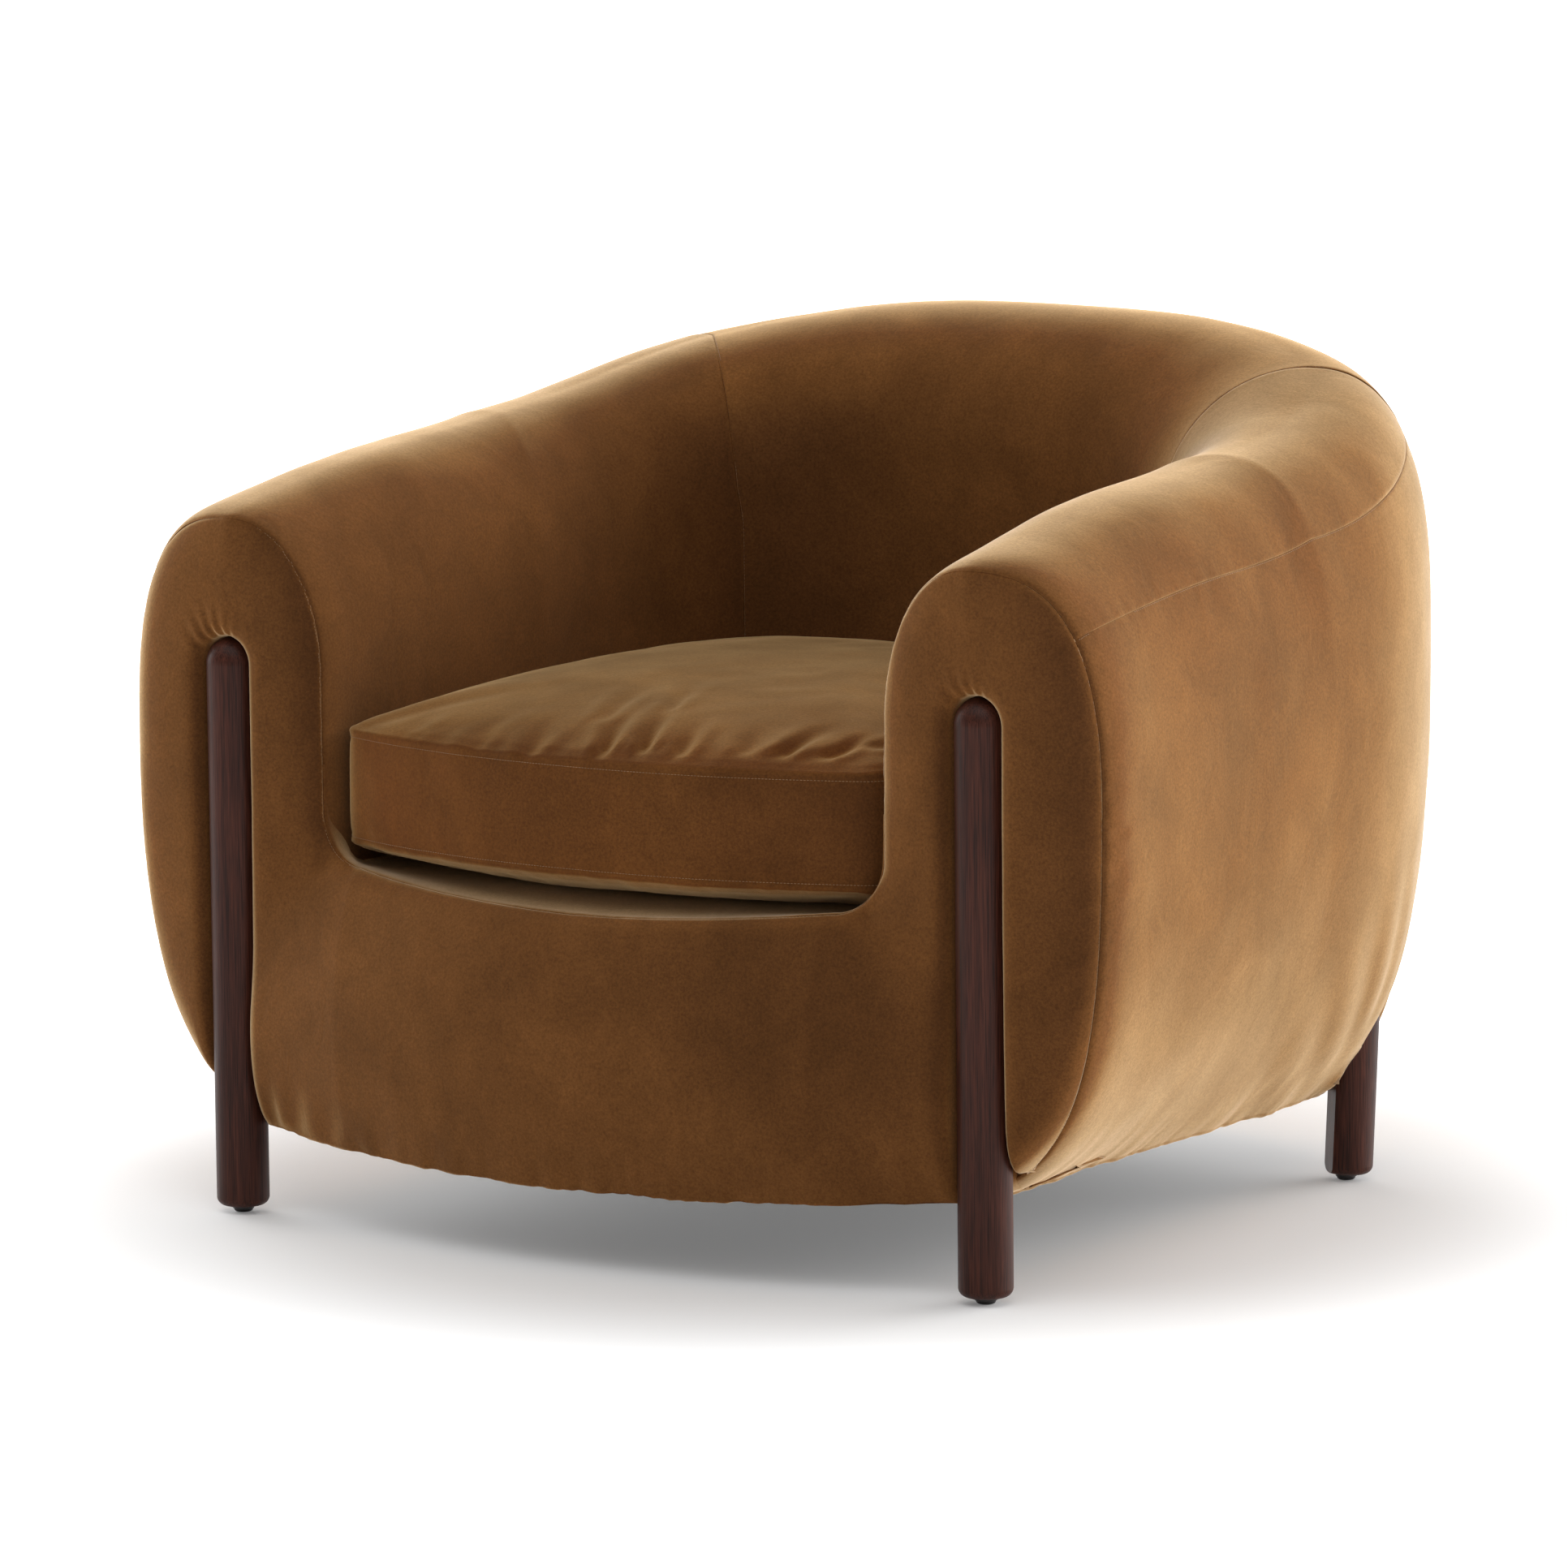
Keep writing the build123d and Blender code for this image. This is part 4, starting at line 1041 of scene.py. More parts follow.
th_f = np.interp(
    steps_between(cumulative(form(0.0, _th))[-1], 4.6), cumulative(form(0.0, _th)), _th
)
Bu = form(0.0, th_f)
Bu = np.concatenate([Bu, np.stack([np.full(27, WALL_X), np.full(27, WALL_Y), np.linspace(480, 360, 28)[1:]], 1)])
rows_f = []
for p in Bu:
    K = np.array([POST_X, min(p[2], K_TOP)])
    W = np.hypot(p[0] - K[0], p[2] - K[1])
    a = ray_dist(W) / W
    xz = K + (p[[0, 2]] - K) * a[:, None]
    y = y_nose(a, p[1], NOSE_Y)
    rows_f.append(np.stack([xz[:, 0], y, xz[:, 1]], 1))
S_LOW = 300.0
D97 = ray_dist(POST_X - WALL_X)
n_arc = 16
arc_t = np.radians(np.linspace(0, 90, n_arc + 1))[1:]
last_ray = None
for k, t in enumerate(arc_t):
    zk = 360 - (360 - S_LOW) * (k + 1) / n_arc
    A = np.array([OPEN_X + OPEN_R * math.cos(t), 360 - OPEN_R * math.sin(t)])
    yA = WALL_Y + (open_y(OPEN_X) - WALL_Y) * (t / (math.pi / 2)) ** 1.5
    pts = []
    for d in D97:
        if d <= 45.001:
            x, z = POST_X - d, zk
        else:
            f = (d - 45) / (D97[-1] - 45)
            x, z = (POST_X - 45) + (A[0] - (POST_X - 45)) * f, zk + (A[1] - zk) * f
        pts.append((x, front_y(x, z), z))
    pts[-1] = (A[0], yA, A[1])
    rows_f.append(np.array(pts))
    last_ray = rows_f[-1]
G1 = np.stack(rows_f)
top_x = np.concatenate([last_ray[:, 0], np.linspace(OPEN_X, 0, 49)[1:]])
top_z = np.concatenate([last_ray[:, 2], open_z(np.linspace(OPEN_X, 0, 49)[1:])])
top_y = np.concatenate([last_ray[:, 1], open_y(np.linspace(OPEN_X, 0, 49)[1:])])
v_rows = steps_between(232.0, 5.0, FINE, (0.0, 0.7, 1.8, 3.4, 5.4, 7.8, 10.6, 13.8)) / 232.0
HEM_R = 12.0
G2 = np.zeros((len(top_x), len(v_rows), 3))
for i, (x, z0, y0) in enumerate(zip(top_x, top_z, top_y)):
    for j, v in enumerate(v_rows):
        z = z0 + (hem_z(x) - z0) * v
        dz = max(z - hem_z(x), 0.0)
        turn = HEM_R - math.sqrt(HEM_R**2 - (HEM_R - dz) ** 2) if dz < HEM_R else 0.0
        G2[i, j] = (x, (y0 if j == 0 else front_y(x, z)) + turn, z)
# the lower edge turns under
hemp = G2[:, -1]
rolls = [
    hemp + np.array([0, d, u])
    for d, u in ((3.0, -0.2), (7.0, -0.2), (12.0, 0.6), (19.0, 3.0), (28.0, 8.0))
]
G2 = np.concatenate([G2, np.stack(rolls, 1)], 1)
fr = np.array([0, -1.0, 0])
sheet_front = Sheet([(G1, fr), (G2, fr), (flip_x(G1), fr), (flip_x(G2), fr)], tol=0.05)


def ease_heights(sh, rounds, fixed):
    """Even out y over the mesh; fixed is 1 where a point moves freely and 0 where it holds."""
    F = sh.F
    e = np.concatenate([np.stack([F[:, k], F[:, (k + 1) % 4]], 1) for k in range(4)])
    e = e[e[:, 0] != e[:, 1]]
    e = np.unique(np.sort(e, 1), axis=0)
    ln = np.linalg.norm((sh.V[e[:, 0]] - sh.V[e[:, 1]])[:, [0, 2]], axis=1) + 0.3
    w = 1.0 / ln
    tot = np.bincount(e[:, 0], w, len(sh.V)) + np.bincount(e[:, 1], w, len(sh.V))
    y = sh.V[:, 1].copy()
    for _ in range(rounds):
        s_ = np.bincount(e[:, 0], w * y[e[:, 1]], len(y)) + np.bincount(e[:, 1], w * y[e[:, 0]], len(y))
        y += fixed * 0.7 * (s_ / tot - y)
    sh.V[:, 1] = y


V = sheet_front.V
d_f, _ = FRONT_SEAM.near(V, 80.0)
free = ease((d_f - 14) / 45) * (V[:, 2] < 420) * ease((420 - V[:, 2]) / 60)
free *= 0.35 + 0.65 * (1 - ease((np.abs(V[:, 0]) - 320) / 40))
free *= V[:, 2] > hem_z(V[:, 0]) + 1.0
ease_heights(sheet_front, 320, free)
V, n = sheet_front.V, sheet_front.normals()
h = soft_undulation(V, 12, 1.1, 0.4)
h += seam_relief(V, FRONT_SEAM, 0.75, 1.3, 0.28, 8.0, 5.0, 2)
hem_f = np.exp(-np.clip(V[:, 2] - hem_z(V[:, 0]), 0, None) / 22.0) * (np.abs(V[:, 0]) < 370)
h += hem_f * (1.3 * noise1(V[:, 0], 19.0, 14) + 0.7 * noise1(V[:, 0], 8.0, 16))
xz = V[:, [0, 2]]
for a, b, dep, wid in (
    # left post: short soft folds fanning up and to the left
    ((-398, 503), (-414, 536), 1.4, 3.2),
    ((-390, 506), (-403, 541), 2.0, 3.0),
    ((-382, 508), (-390, 538), 1.7, 2.8),
    ((-374, 507), (-377, 526), 0.8, 2.6),
    ((-406, 496), (-426, 524), 0.7, 3.6),
    # right post: three slight creases
    ((374, 507), (362, 534), 1.0, 2.9),
    ((382, 508), (376, 532), 1.1, 2.6),
    ((390, 506), (390, 525), 0.7, 2.4),
    ((366, 502), (348, 526), 0.6, 3.8),
    # soft gathers low on the apron
    ((-338, 84), (-334, 150), 2.0, 7.0),
    ((-305, 80), (-298, 140), 1.6, 8.0),
    ((-262, 78), (-250, 128), 1.4, 9.0),
    ((-200, 76), (-190, 118), 1.2, 9.0),
    ((336, 84), (330, 150), 1.2, 8.0),
):
    h += crease(xz, a, b, dep, wid)
V = V + n * h[:, None]
# its edge follows the covers in at the seam
d_f, _ = FRONT_SEAM.near(V, 80.0)
rx, rz = np.abs(V[:, 0]) - POST_X, V[:, 2] - np.minimum(V[:, 2], K_TOP)
rr = np.maximum(np.hypot(rx, rz), 1.0)
pull = 2.0 + 2.0 * ease((np.abs(V[:, 0]) - 330) / 90)
pull *= np.exp(-((d_f / 14.0) ** 1.5)) * ease((V[:, 2] - 335 + 300 * (np.abs(V[:, 0]) > POST_X)) / 25) * (rr > 24)
V[:, 0] -= np.sign(V[:, 0]) * rx / rr * pull
V[:, 2] -= rz / rr * pull
# the cloth dips round the posts
dx = np.abs(V[:, 0]) - POST_X
rho = np.hypot(dx, np.clip(V[:, 2] - K_TOP, 0, None))
DIP, D0, D1_ = 11.5, 24.2, 40.0
x_lip = np.clip((D1_ - rho) / (D1_ - D0), 0, 1)
dip = DIP * (1 - np.sqrt(1 - 0.999 * x_lip**2))
dip = np.where(rho < D0, DIP + (D0 - rho) * 6.0, dip)
V[:, 1] += dip
# its lowest end lies inside the cover of the side
end = ease((V[:, 1] - 40) / 16) * ease((112 - V[:, 2]) / 12) * (np.abs(V[:, 0]) > POST_X + 4) * (d_f < 70)
V[:, 0] -= np.sign(V[:, 0]) * 7.0 * end
V[:, 2] += 3.0 * end
sheet_front.V = V
sheet_front.tuck(4.0)

# ------------------------------------------------------------------ seat tray under the cushion
edge_r = np.concatenate([[[WALL_X + 1.0, WALL_Y, 400.0], [WALL_X + 1.0, WALL_Y, 380.0], [WALL_X, WALL_Y, 360.0]], arc_pts[::2], np.stack([_ox[::3], open_y(_ox[::3]), open_z(_ox[::3])], 1)])
edge_all = np.concatenate([edge_r, flip_x(edge_r)[::-1][1:]])
iy = form(_s, 1.0)
wall_at = lambda y: np.interp(y, iy[:, 1], iy[:, 0])


def tray_section(n_in, r=12.0, floor=308.0):
    """x, z along the back part of the tray, matched to the points of the front edge."""
    d = cumulative(n_in[:, [0, 2]])
    d = d / d[-1]
    pts = [(WALL_X + 1.0, 400.0), (WALL_X + 1.0, floor + r)]
    pts += [(WALL_X + 1.0 - r + r * math.cos(t), floor + r - r * math.sin(t)) for t in np.radians(np.linspace(8, 90, 9))]
    pts += [(WALL_X - 20 - k * 26.5, floor) for k in range(0, 11)]
    pts = np.array(pts)
    pts = pts[pts[:, 0] >= 0]
    pts[-1, 0] = 0.0
    full = np.concatenate([pts, (pts * [-1, 1])[::-1][1:]])
    q = cumulative(full)
    q = q / q[-1]
    return np.stack([np.interp(d, q, full[:, 0]), np.interp(d, q, full[:, 1])], 1)


sec = tray_section(edge_all)
tau = np.concatenate([[0, 0.8, 1.8, 3, 5, 8, 12, 17, 23, 30, 38, 47, 57], np.linspace(70, 655, 60)])
tray = np.zeros((len(edge_all), len(tau), 3))
for j, t in enumerate(tau):
    m = ease(t / 62.0) if t < 62 else 1.0
    yv = edge_all[:, 1] + t * (1 - 0.0)
    yv = np.minimum(yv, 621.0)
    shrink = np.where(yv > WALL_Y + 9, wall_at(np.maximum(yv - 9, WALL_Y)) / WALL_X, 1.0)
    shrink = shrink * (1 + 0.012 * ease((yv - WALL_Y) / 40))
    x = (edge_all[:, 0] * (1 - m) + sec[:, 0] * m) * shrink
    z = edge_all[:, 2] * (1 - m) + sec[:, 1] * m
    tray[:, j] = np.stack([x, yv, z], 1)
sheet_tray = Sheet([(tray, np.array([0, 0, 1.0]))])
V, n = sheet_tray.V, sheet_tray.normals()
h = seam_relief(V, FRONT_SEAM, 0.75, 1.3, 0.28, 8.0, 5.0, 2) + soft_undulation(V, 21, 0.8, 0.3)
sheet_tray.V = V + n * h[:, None]
sheet_tray.tuck(5.0)

# ------------------------------------------------------------------ cloth tucked in behind the front posts, under the noses
_u, _v = np.meshgrid(np.linspace(0, 1, 15), np.linspace(0, 1, 12), indexing="ij")
corner = np.stack([388 + 3 * np.sin(math.pi * _u) * np.sin(math.pi * _v) - 10 * (1 - _v) ** 2, 21 + 41 * _u, 84 + 32 * _v], -1)
sheet_corner = Sheet([(corner, np.array([1.0, 0, 0])), (flip_x(corner), np.array([-1.0, 0, 0]))])
sheet_corner.tuck(3.0)

ob_wrap = sheet_wrap.to_object("outside_cover_cloth", VELVET)
ob_corner = sheet_corner.to_object("corner_tuck_cloth", VELVET)
ob_arm = {k: s.to_object(f"arm_cover_cloth_{'right' if k > 0 else 'left'}", VELVET) for k, s in sheets_arm.items()}
ob_back = sheet_back.to_object("inside_back_cloth", VELVET_IN_PAINTED_LIGHT)
ob_front = sheet_front.to_object("front_panel_cloth", VELVET)
ob_tray = sheet_tray.to_object("seat_deck_cloth", VELVET)
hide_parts("outside_cover")
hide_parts("arm_cover_right", "arm_pad_right")
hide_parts("arm_cover_left", "arm_pad_left")
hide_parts("inside_back_cover", "back_pad")
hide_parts("front_cover_right", "front_cover_left", "apron_cover", "arm_front_pad_right", "arm_front_pad_left", "apron_pad")
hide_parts("deck_cover", "deck_pad")

# ------------------------------------------------------------------ loose cushion
CUSH_W, CUSH_BACK = 278.0, 609.0
Z_LO, Z_HI, Z_BOT = 332.0, 430.0, 311.0
CROWN = 36.0


def cushion_outline(n):
    """Closed plan curve, front left corner first, anticlockwise from above; n is not used."""
    s = np.linspace(0, 1, 900)
    x, y = plan(s, *INNER)
    side = np.stack([x, y], 1)
    t = unit(np.gradient(side, axis=0))
    side = side + 5.0 * np.stack([-t[:, 1], t[:, 0]], 1)
    side = side[(side[:, 1] > 46) & (side[:, 0] > 0)]
    # bowed front, with rounded corners
    xf = np.linspace(0, 254, 60)
    yf = -42 + 58 * (xf / 278.0) ** 2.2
    front = np.stack([xf, yf], 1)
    c0, c2 = front[-1], side[0]
    c1 = np.array([side[0][0] + 0.5, front[-1][1] + 5.5])
    q = np.linspace(0, 1, 14)[1:-1, None]
    corner = (1 - q) ** 2 * c0 + 2 * q * (1 - q) * c1 + q**2 * c2
    rt = np.concatenate([front, corner, side])
    full = np.concatenate([rt, (rt * [-1, 1])[::-1][:-1]])
    return full


OUTL = cushion_outline(0)
d_out = cumulative(np.concatenate([OUTL, OUTL[:1]]))
NS = 60
# corners of the square grid on the outline: front right, back right, back left, front left
i_fr = int(np.argmin(np.hypot(OUTL[:, 0] - 268, OUTL[:, 1] - 24)))
br = np.argmin(np.abs(np.degrees(np.arctan2(OUTL[:, 1] - 300, OUTL[:, 0])) - 52) + (OUTL[:, 0] < 0) * 999)
i_br = int(br)
L_fr, L_br = d_out[i_fr], d_out[i_br]
L_tot = d_out[-1]


def on_outline(t):
    t = np.mod(t, L_tot)
    P = np.concatenate([OUTL, OUTL[:1]])
    return np.stack([np.interp(t, d_out, P[:, 0]), np.interp(t, d_out, P[:, 1])], -1)


u = np.linspace(0, 1, NS + 1)
sides = {
    "front": on_outline(-L_fr + 2 * L_fr * u),                       # left to right
    "right": on_outline(L_fr + (L_br - L_fr) * u),                   # front to back
    "back": on_outline(L_tot - L_br - (L_tot - 2 * L_br) * u)[:],    # left to right
    "left": on_outline(L_tot - L_fr - (L_br - L_fr) * u),            # front to back
}
F_, R_, B_, L_ = sides["front"], sides["right"], sides["back"], sides["left"]
uu, vv = np.meshgrid(u, u, indexing="ij")
U1, V1 = uu[..., None], vv[..., None]
coons = (
    (1 - V1) * F_[:, None]
    + V1 * B_[:, None]
    + (1 - U1) * L_[None]
    + U1 * R_[None]
    - ((1 - U1) * (1 - V1) * F_[0] + U1 * (1 - V1) * F_[-1] + (1 - U1) * V1 * B_[0] + U1 * V1 * B_[-1])
)
e_dist = np.minimum.reduce([uu, 1 - uu, vv, 1 - vv])


def crown(e, k):
    return 1 - (1 - np.clip(e * 2, 0, 1)) ** k


top = np.zeros((NS + 1, NS + 1, 3))
top[..., :2] = coons
top[..., 2] = Z_HI + CROWN * (np.clip(1 - np.abs(2 * uu - 1) ** 2.6, 0, 1) ** 0.9 * np.clip(1 - np.abs(2 * vv - 1) ** 2.0, 0, 1)) ** 0.48
bot = np.zeros_like(top)
bot[..., :2] = coons
bot[..., 2] = Z_LO - (Z_LO - Z_BOT) * (np.clip(1 - (2 * uu - 1) ** 2, 0, 1) * np.clip(1 - (2 * vv - 1) ** 2, 0, 1)) ** 0.22
top[0, :, 2] = top[-1, :, 2] = Z_HI
top[:, 0, 2] = top[:, -1, 2] = Z_HI
bot[0, :, 2] = bot[-1, :, 2] = Z_LO
bot[:, 0, 2] = bot[:, -1, 2] = Z_LO
ring = np.concatenate([F_, R_[1:], B_[::-1][1:], L_[::-1][1:]])     # closed, last = first
NB = 12
bz = np.linspace(0, 1, NB + 1)
ctr = np.array([0, 290.0])
outw = unit(np.stack([np.gradient(ring[:, 1]), -np.gradient(ring[:, 0])], 1))
outw *= np.sign((outw * (ring - ctr)).sum(1, keepdims=True))
box_g = np.zeros((len(ring), NB + 1, 3))
box_g[..., :2] = ring[:, None] + outw[:, None] * (1.5 * np.sin(np.pi * bz))[None, :, None]
box_g[..., 2] = Z_LO + (Z_HI - Z_LO) * bz
box_g[-1] = box_g[0]
cush = Sheet(
    [
        (top, np.array([0, 0, 1.0])),
        (bot, np.array([0, 0, -1.0])),
        (box_g, np.concatenate([outw, np.zeros((len(ring), 1))], 1)[:, None]),
    ]
)
base_V = cush.V.copy()
ring3_hi = np.concatenate([ring, np.full((len(ring), 1), Z_HI)], 1)
ring3_lo = np.concatenate([ring, np.full((len(ring), 1), Z_LO)], 1)
HI, LO = Line(ring3_hi), Line(ring3_lo)
d_hi, _ = HI.near(base_V, 200)
d_lo, _ = LO.near(base_V, 200)
ob_c = cush.to_object("loose_seat_cushion", VELVET_SEAT_NAP_AND_SHADE, "cushion", thick=0)
is_seam = (d_hi < 0.6) | (d_lo < 0.6)


def simulate(ob, pinned, frames=20, pressure=4.0, cap=12.0):
    """Swell a closed cloth; the seams hold. Points move no further than cap (mm)."""
    vg = ob.vertex_groups.new(name="pin")
    for i in np.nonzero(pinned)[0].tolist():
        vg.add([i], 1.0, "REPLACE")
    md = ob.modifiers.new("cloth", "CLOTH")
    st = md.settings
    st.quality = 5
    st.mass = 0.3
    st.tension_stiffness = 12
    st.compression_stiffness = 12
    st.shear_stiffness = 4
    st.bending_stiffness = 0.4
    st.use_pressure = True
    st.uniform_pressure_force = pressure
    st.effector_weights.gravity = 0.0
    st.vertex_group_mass = "pin"
    md.collision_settings.use_collision = False
    md.collision_settings.use_self_collision = False
    md.point_cache.frame_start = 1
    md.point_cache.frame_end = frames
    sc = bpy.context.scene
    before = np.empty(len(ob.data.vertices) * 3)
    ob.data.vertices.foreach_get("co", before)
    before = before.reshape(-1, 3)
    for f in range(1, frames + 1):
        sc.frame_set(f)
    dg = bpy.context.evaluated_depsgraph_get()
    ev = ob.evaluated_get(dg)
    after = np.empty(len(ev.data.vertices) * 3)
    ev.data.vertices.foreach_get("co", after)
    after = after.reshape(-1, 3)
    ob.modifiers.remove(md)
    ob.vertex_groups.remove(vg)
    sc.frame_set(1)
    move = after - before
    size = np.linalg.norm(move, axis=1, keepdims=True)
    lim = cap / 1000
    move *= np.minimum(1.0, lim * np.tanh(size / lim) / np.maximum(size, 1e-9))
    return before + move


co = simulate(ob_c, is_seam)
ob_c.data.vertices.foreach_set("co", co.reshape(-1))
ob_c.data.update()
sub = ob_c.modifiers.new("sub", "SUBSURF")
sub.levels = sub.render_levels = 1
sub.subdivision_type = "CATMULL_CLARK"
dg = bpy.context.evaluated_depsgraph_get()
fine_me = bpy.data.meshes.new_from_object(ob_c.evaluated_get(dg))
ob_c.modifiers.clear()
ob_c.data = fine_me
fine_me.name = "loose_seat_cushion"
nv = len(fine_me.vertices)
co = np.empty(nv * 3)
fine_me.vertices.foreach_get("co", co)
no = np.empty(nv * 3)
fine_me.vertices.foreach_get("normal", no)
co, no = co.reshape(-1, 3) * 1000, no.reshape(-1, 3)
co[:, 1] -= Y_SHIFT
d_hi, at_hi = HI.near(co, 120)
d_lo, at_lo = LO.near(co, 120)
h = 0.9 * noise3(co, 85.0, 31) + 0.4 * noise3(co, 30.0, 33)
for d, at, sd in ((d_hi, at_hi, 1), (d_lo, at_lo, 2)):
    h += 0.9 * np.exp(-((d / 3.0) ** 2))                       # the seam's own ridge
    h -= 0.8 * np.exp(-(((d - 7.0) / 3.0) ** 2))
    g = 0.7 * noise1(at, 11.0, 40 + sd) + 0.5 * noise1(at, 5.0, 44 + sd)
    h += 0.55 * g * np.exp(-d / 16.0) * (1 - np.exp(-((d / 4.0) ** 2)))
on_top = co[:, 2] > Z_HI - 2
xy = co[:, :2]
for a, b, dep, wid in (
    ((24, -26), (-14, 70), 5.0, 6.0),
    ((-14, 30), (-46, 150), 2.6, 7.0),
    ((58, -16), (20, 78), 5.4, 5.5),
    ((30, 66), (-10, 165), 2.4, 6.0),
    ((96, -16), (64, 66), 3.4, 6.0),
    ((150, 0), (126, 70), 2.2, 8.0),
    ((182, 10), (180, 96), 4.2, 6.0),
    ((216, 22), (232, 96), 3.4, 6.0),
    ((240, 52), (262, 130), 2.6, 6.0),
    ((-44, -36), (-72, 40), 2.6, 8.0),
    ((-104, -28), (-132, 50), 1.8, 10.0),
    ((-190, 0), (-205, 60), 1.4, 10.0),
):
    h += np.where(on_top, crease(xy, a, b, dep, wid), 0)
co = co + no * h[:, None]
co[:, 2] = np.maximum(co[:, 2], 309.2)
wall = np.array([float(v) for v in wall_at(np.clip(co[:, 1], WALL_Y, 613))]) - 1.2
ok_y = co[:, 1] > 30
co[:, 0] = np.where(ok_y, np.clip(co[:, 0], -wall, wall), co[:, 0])
row = to_row(co)
fine_me.vertices.foreach_set("co", row.reshape(-1))
fine_me.polygons.foreach_set("use_smooth", [True] * len(fine_me.polygons))
fine_me.update()
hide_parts("cushion_cover", "cushion_filling")

# ------------------------------------------------------------------ stitches
CAPS = []
for t, r in ((-1.0, 0.35), (-0.78, 0.9), (0.0, 1.0), (0.78, 0.9), (1.0, 0.35)):
    for k in range(5):
        an = 2 * math.pi * k / 5
        CAPS.append((t, r * math.cos(an), r * math.sin(an)))
CAPS = np.array(CAPS)
CAP_F = []
for r in range(4):
    for k in range(5):
        CAP_F.append((r * 5 + k, r * 5 + (k + 1) % 5, (r + 1) * 5 + (k + 1) % 5, (r + 1) * 5 + k))
CAP_END = [(4, 3, 2, 1, 0), (20, 21, 22, 23, 24)]


def bvh_of(V, F):
    return BVHTree.FromPolygons([tuple(v) for v in V.tolist()], F)


def stitches(name, line, tree, side_of, body="frame", pitch=3.0, length=2.1, thick=0.42, shift=1.2, t0=2.0, t1=None, lift=0.12, skip=None):
    """A row of single stitches along a seam, laid on the surface that the tree holds."""
    t1 = line.length - 2.0 if t1 is None else t1
    ts = np.arange(t0, t1, pitch)
    P = np.stack([np.interp(ts, line.t, line.P[:, k]) for k in range(3)], 1)
    A = np.stack([np.interp(ts + 0.8, line.t, line.P[:, k]) for k in range(3)], 1)
    T = unit(A - P)
    T[-1] = T[-2]
    VV, FF, n0 = [], [], 0
    for p, t in zip(P, T):
        if skip is not None and skip(p):
            continue
        loc, nrm, _, dist = tree.find_nearest(Vector(p), 30.0)
        if loc is None:
            continue
        nrm = np.array(nrm)
        side = np.cross(t, nrm)
        s = side_of(p, side)
        loc, nrm, _, dist = tree.find_nearest(Vector(p + unit(side) * s * shift), 30.0)
        if loc is None:
            continue
        nrm = np.array(nrm)
        tt = unit(t - nrm * (t @ nrm))
        bb = np.cross(nrm, tt)
        c = np.array(loc) + nrm * lift
        q = c + np.outer(CAPS[:, 0] * length / 2, tt) + np.outer(CAPS[:, 1] * thick / 2 * 1.3, bb) + np.outer(CAPS[:, 2] * thick / 2, nrm)
        VV.append(q)
        FF += [tuple(i + n0 for i in f) for f in CAP_F + CAP_END]
        n0 += 25
    V = to_row(np.concatenate(VV))
    ob = mesh_object(name, V, FF, THREAD, body)
    return ob


front_tree = sheet_front.bvh()
wrap_tree = sheet_wrap.bvh()
arm_tree = {k: s.bvh() for k, s in sheets_arm.items()}
back_tree = sheet_back.bvh()


def toward(ref):
    ref = np.asarray(ref, float)
    return lambda p, side: 1.0 if (ref - p) @ side > 0 else -1.0


def to_post(p, side):
    """Towards the middle of the front panel."""
    z = min(max(p[2], 90), K_TOP)
    if abs(p[0]) < 250:
        ref = np.array([p[0], p[1] - 30, p[2] - 60])
    else:
        ref = np.array([math.copysign(POST_X if p[2] > 340 else 340, p[0]), -40.0, z if p[2] > 340 else 200])
    return 1.0 if (ref - p) @ side > 0 else -1.0


stitches("stitches_front_seam", FRONT_SEAM, front_tree, to_post, shift=1.6, thick=0.34, lift=0.1)
stitches("stitches_side_seam", SIDE_SEAM, wrap_tree, lambda p, s: -1.0 if s[2] > 0 else 1.0, shift=1.3, thick=0.34, lift=0.08)
for sd, nm in ((1, "right"), (-1, "left")):
    stitches(f"stitches_back_seam_{nm}", BACK_SEAM[sd], back_tree, toward((0, 700, 500)), shift=1.3, thick=0.36, lift=0.08, t1=BACK_SEAM[sd].length - 8)
c_tree = bvh_of(co, [tuple(p.vertices) for p in fine_me.polygons])
for nm, ln, dz in (("top", HI, -5.6), ("bottom", LO, 5.6)):
    shifted = Line(ln.P + np.array([0, 0, dz]))
    stitches(f"stitches_cushion_{nm}", shifted, c_tree, lambda p, s: 1.0, "cushion", shift=0.0, thick=0.4, lift=0.1)

# ------------------------------------------------------------------ floor, light
W_BASE = 0.08
FLOOR_GLOW_PAINTED_SHADOW = (0.10, 1.30)      # near the chair, where the low glow is a painted shadow under it; far from it
FLOOR_THROW = 0.32
KEY = ((1.9, 1.9, 1.05), (2.0, 1.6), 1.0)
TOP = ((0.2, 2.6, 2.4), (2.6, 1.6), 1.0)
LEFT = ((-2.6, 1.0, 1.0), (1.8, 1.6), 1.0)
fl_mat, nt, b = new_mat("floor_white")
tc = nt.nodes.new("ShaderNodeTexCoord")
f = noise_tex(nt, tc.outputs["Object"], 3.0, 2.0)
c = ramp(nt, [(0.0, (0.86, 0.86, 0.86)), (1.0, (0.88, 0.88, 0.88))], f)
L(nt, c, b.inputs["Base Color"])
b.inputs["Roughness"].default_value = 0.9
b.inputs["Specular IOR Level"].default_value = 0.1
b.inputs["Emission Color"].default_value = (1, 1, 1, 1)
ln = nt.nodes.new("ShaderNodeVectorMath")
ln.operation = "LENGTH"
L(nt, tc.outputs["Object"], ln.inputs[0])
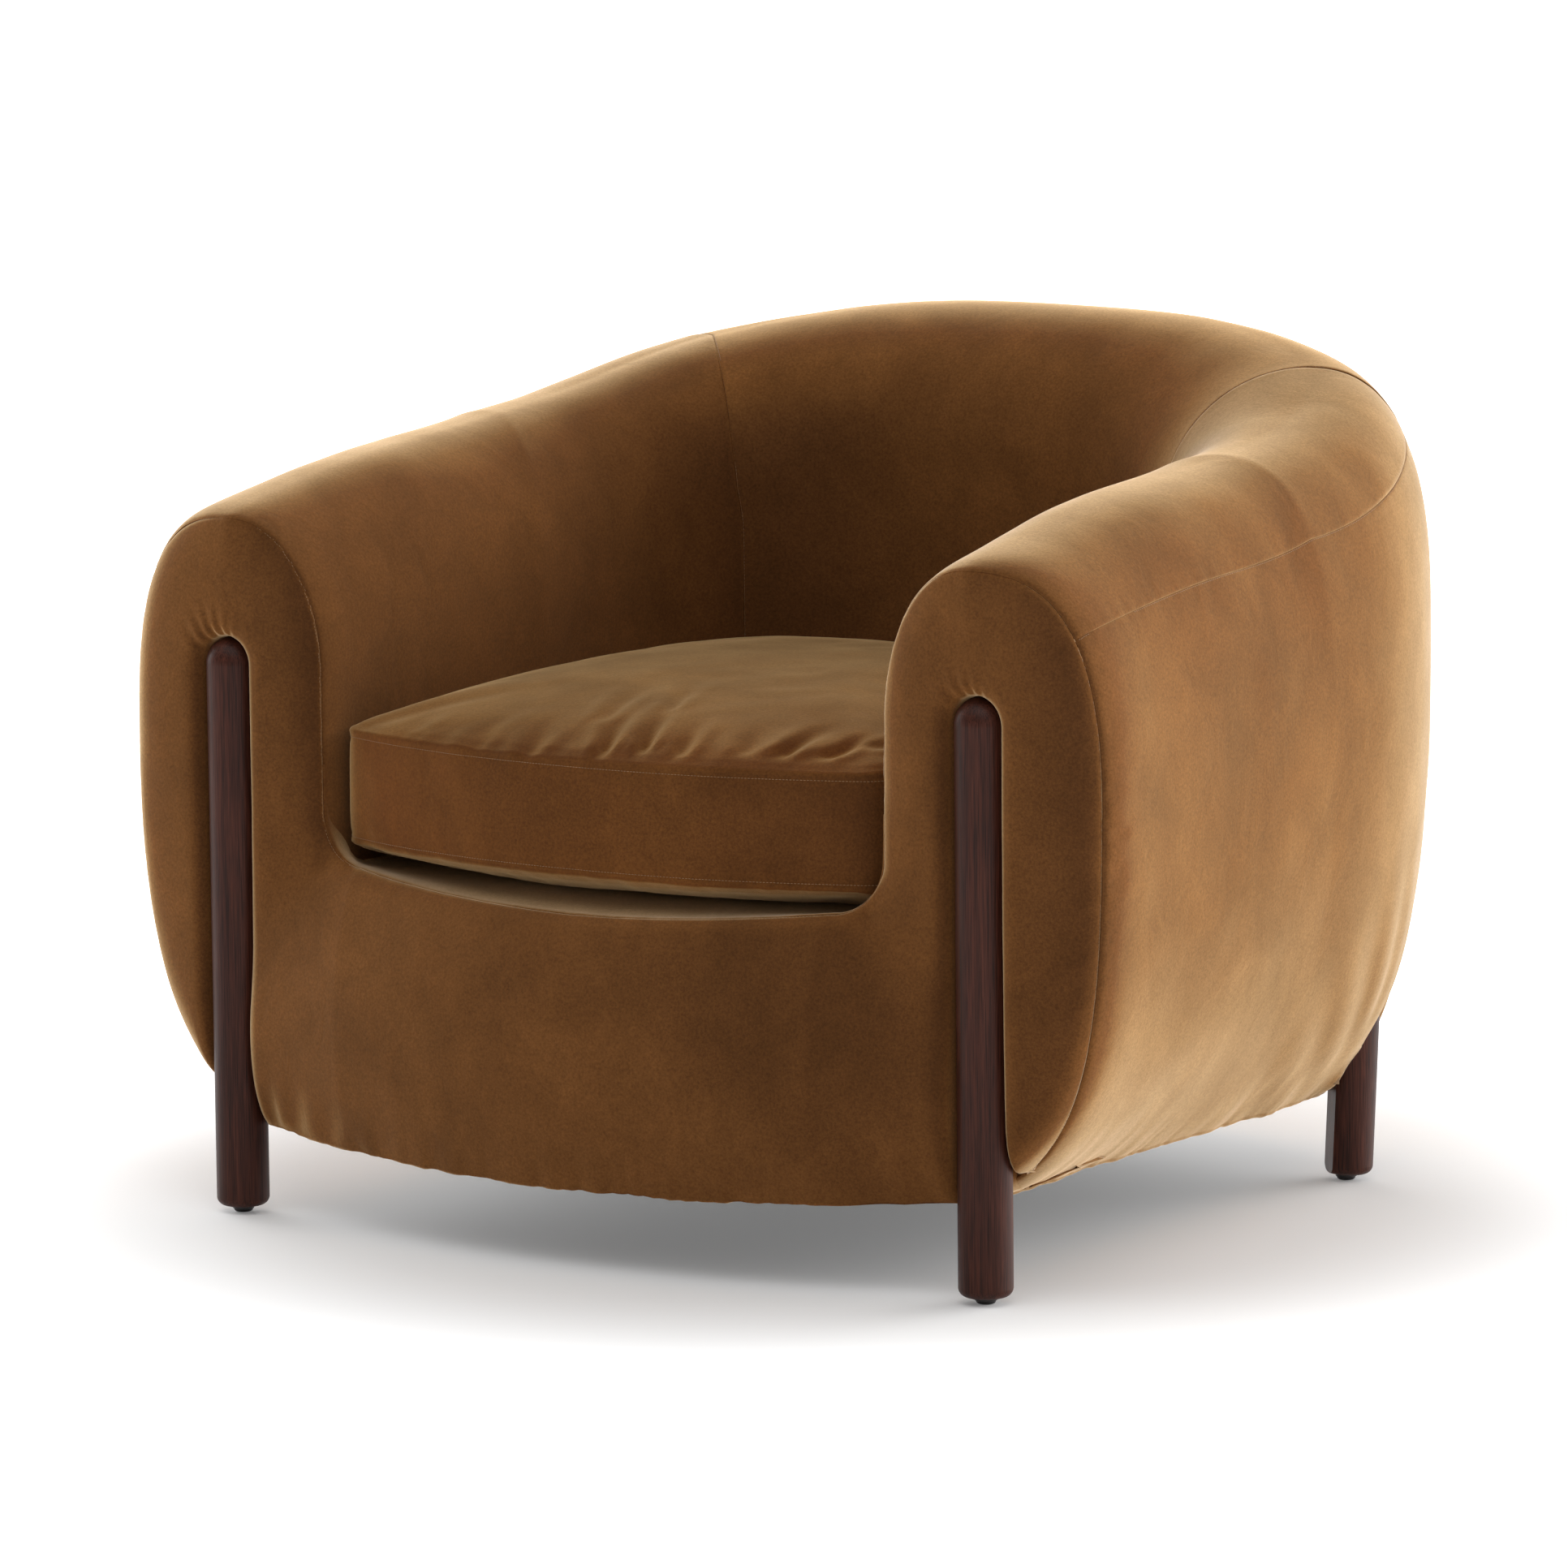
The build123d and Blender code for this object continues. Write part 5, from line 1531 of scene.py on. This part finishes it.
# painted shadow: the floor's glow fades towards the chair, by distance from the middle
mr = nt.nodes.new("ShaderNodeMapRange")
mr.interpolation_type = "SMOOTHSTEP"
L(nt, ln.outputs["Value"], mr.inputs[0])
for i, v in zip((1, 2, 3, 4), (0.46, 1.15, *FLOOR_GLOW_PAINTED_SHADOW)):
    mr.inputs[i].default_value = v
seen = nt.nodes.new("ShaderNodeLightPath")
part = nt.nodes.new("ShaderNodeMapRange")
L(nt, seen.outputs["Is Camera Ray"], part.inputs[0])
part.inputs[3].default_value, part.inputs[4].default_value = FLOOR_THROW, 1.0
L(nt, math_node(nt, "MULTIPLY", mr.outputs[0], part.outputs[0]), b.inputs["Emission Strength"])
bm = bmesh.new()
bmesh.ops.create_grid(bm, x_segments=40, y_segments=40, size=30.0)
me = bpy.data.meshes.new("floor")
bm.to_mesh(me)
bm.free()
me.materials.append(fl_mat)
floor = bpy.data.objects.new("floor", me)
bpy.context.scene.collection.objects.link(floor)
floor.location = (0, 0, -0.0002)

world = bpy.data.worlds.new("studio")
bpy.context.scene.world = world
world.use_nodes = True
wt = world.node_tree
wt.nodes.clear()
wout = wt.nodes.new("ShaderNodeOutputWorld")
tcw = wt.nodes.new("ShaderNodeTexCoord")
sep = wt.nodes.new("ShaderNodeSeparateXYZ")
L(wt, tcw.outputs["Generated"], sep.inputs[0])


def world_dot(v):
    d = wt.nodes.new("ShaderNodeVectorMath")
    d.operation = "DOT_PRODUCT"
    L(wt, tcw.outputs["Generated"], d.inputs[0])
    d.inputs[1].default_value = v
    return d.outputs["Value"]


def world_range(x, a, b, lo, hi):
    m = wt.nodes.new("ShaderNodeMapRange")
    m.interpolation_type = "SMOOTHSTEP"
    L(wt, x, m.inputs[0])
    for i, v in zip((1, 2, 3, 4), (a, b, lo, hi)):
        m.inputs[i].default_value = v
    return m.outputs[0]


# the studio: soft bright panels low behind the chair and at its sides, little from the front, nothing overhead
PANELS = (   # azimuth from +X towards +Y, height in degrees, strength
    (163, 8, 9.8),
    (143, 2, 6.5),
    (111, 5, 1.3),
    (78, 9, 4.8),
    (58, 3, 9.6),
    (26, 7, 4.4),
    (-32, 30, 0.6),
    (-54, 60, 2.3),
    (-125, 60, 1.5),
    (160, 46, 0.3),
)
total = None
for az, el, power in PANELS:
    az, el = math.radians(az), math.radians(el)
    x = world_dot((math.cos(az) * math.cos(el), math.sin(az) * math.cos(el), math.sin(el)))
    x = math_node(wt, "MULTIPLY_ADD", x, 16.0)
    x.node.inputs[2].default_value = -16.0
    x = math_node(wt, "EXPONENT", x)
    x = math_node(wt, "MULTIPLY", x, power)
    total = x if total is None else math_node(wt, "ADD", total, x)
total = math_node(wt, "ADD", total, W_BASE)
soft = wt.nodes.new("ShaderNodeBackground")
L(wt, total, soft.inputs["Strength"])
plain = wt.nodes.new("ShaderNodeBackground")
plain.inputs["Strength"].default_value = 1.02
lp = wt.nodes.new("ShaderNodeLightPath")
mixw = wt.nodes.new("ShaderNodeMixShader")
L(wt, lp.outputs["Is Camera Ray"], mixw.inputs[0])
L(wt, soft.outputs[0], mixw.inputs[1])
L(wt, plain.outputs[0], mixw.inputs[2])
L(wt, mixw.outputs[0], wout.inputs[0])


def area(name, loc, aim, size, power, col=(1, 1, 1)):
    ld = bpy.data.lights.new(name, "AREA")
    ld.shape = "RECTANGLE"
    ld.size, ld.size_y = size
    ld.energy = power
    ld.color = col
    o = bpy.data.objects.new(name, ld)
    bpy.context.scene.collection.objects.link(o)
    o.location = loc
    d = Vector(aim) - Vector(loc)
    o.rotation_euler = d.to_track_quat("-Z", "Y").to_euler()
    return o


area("softbox_right", KEY[0], (0.0, 0.05, 0.35), KEY[1], KEY[2], (1.0, 0.98, 0.95))
area("softbox_top", TOP[0], (0.0, 0.0, 0.4), TOP[1], TOP[2])
area("softbox_left", LEFT[0], (0.0, 0.0, 0.3), LEFT[1], LEFT[2])

bpy.context.scene.view_settings.view_transform = "Standard"
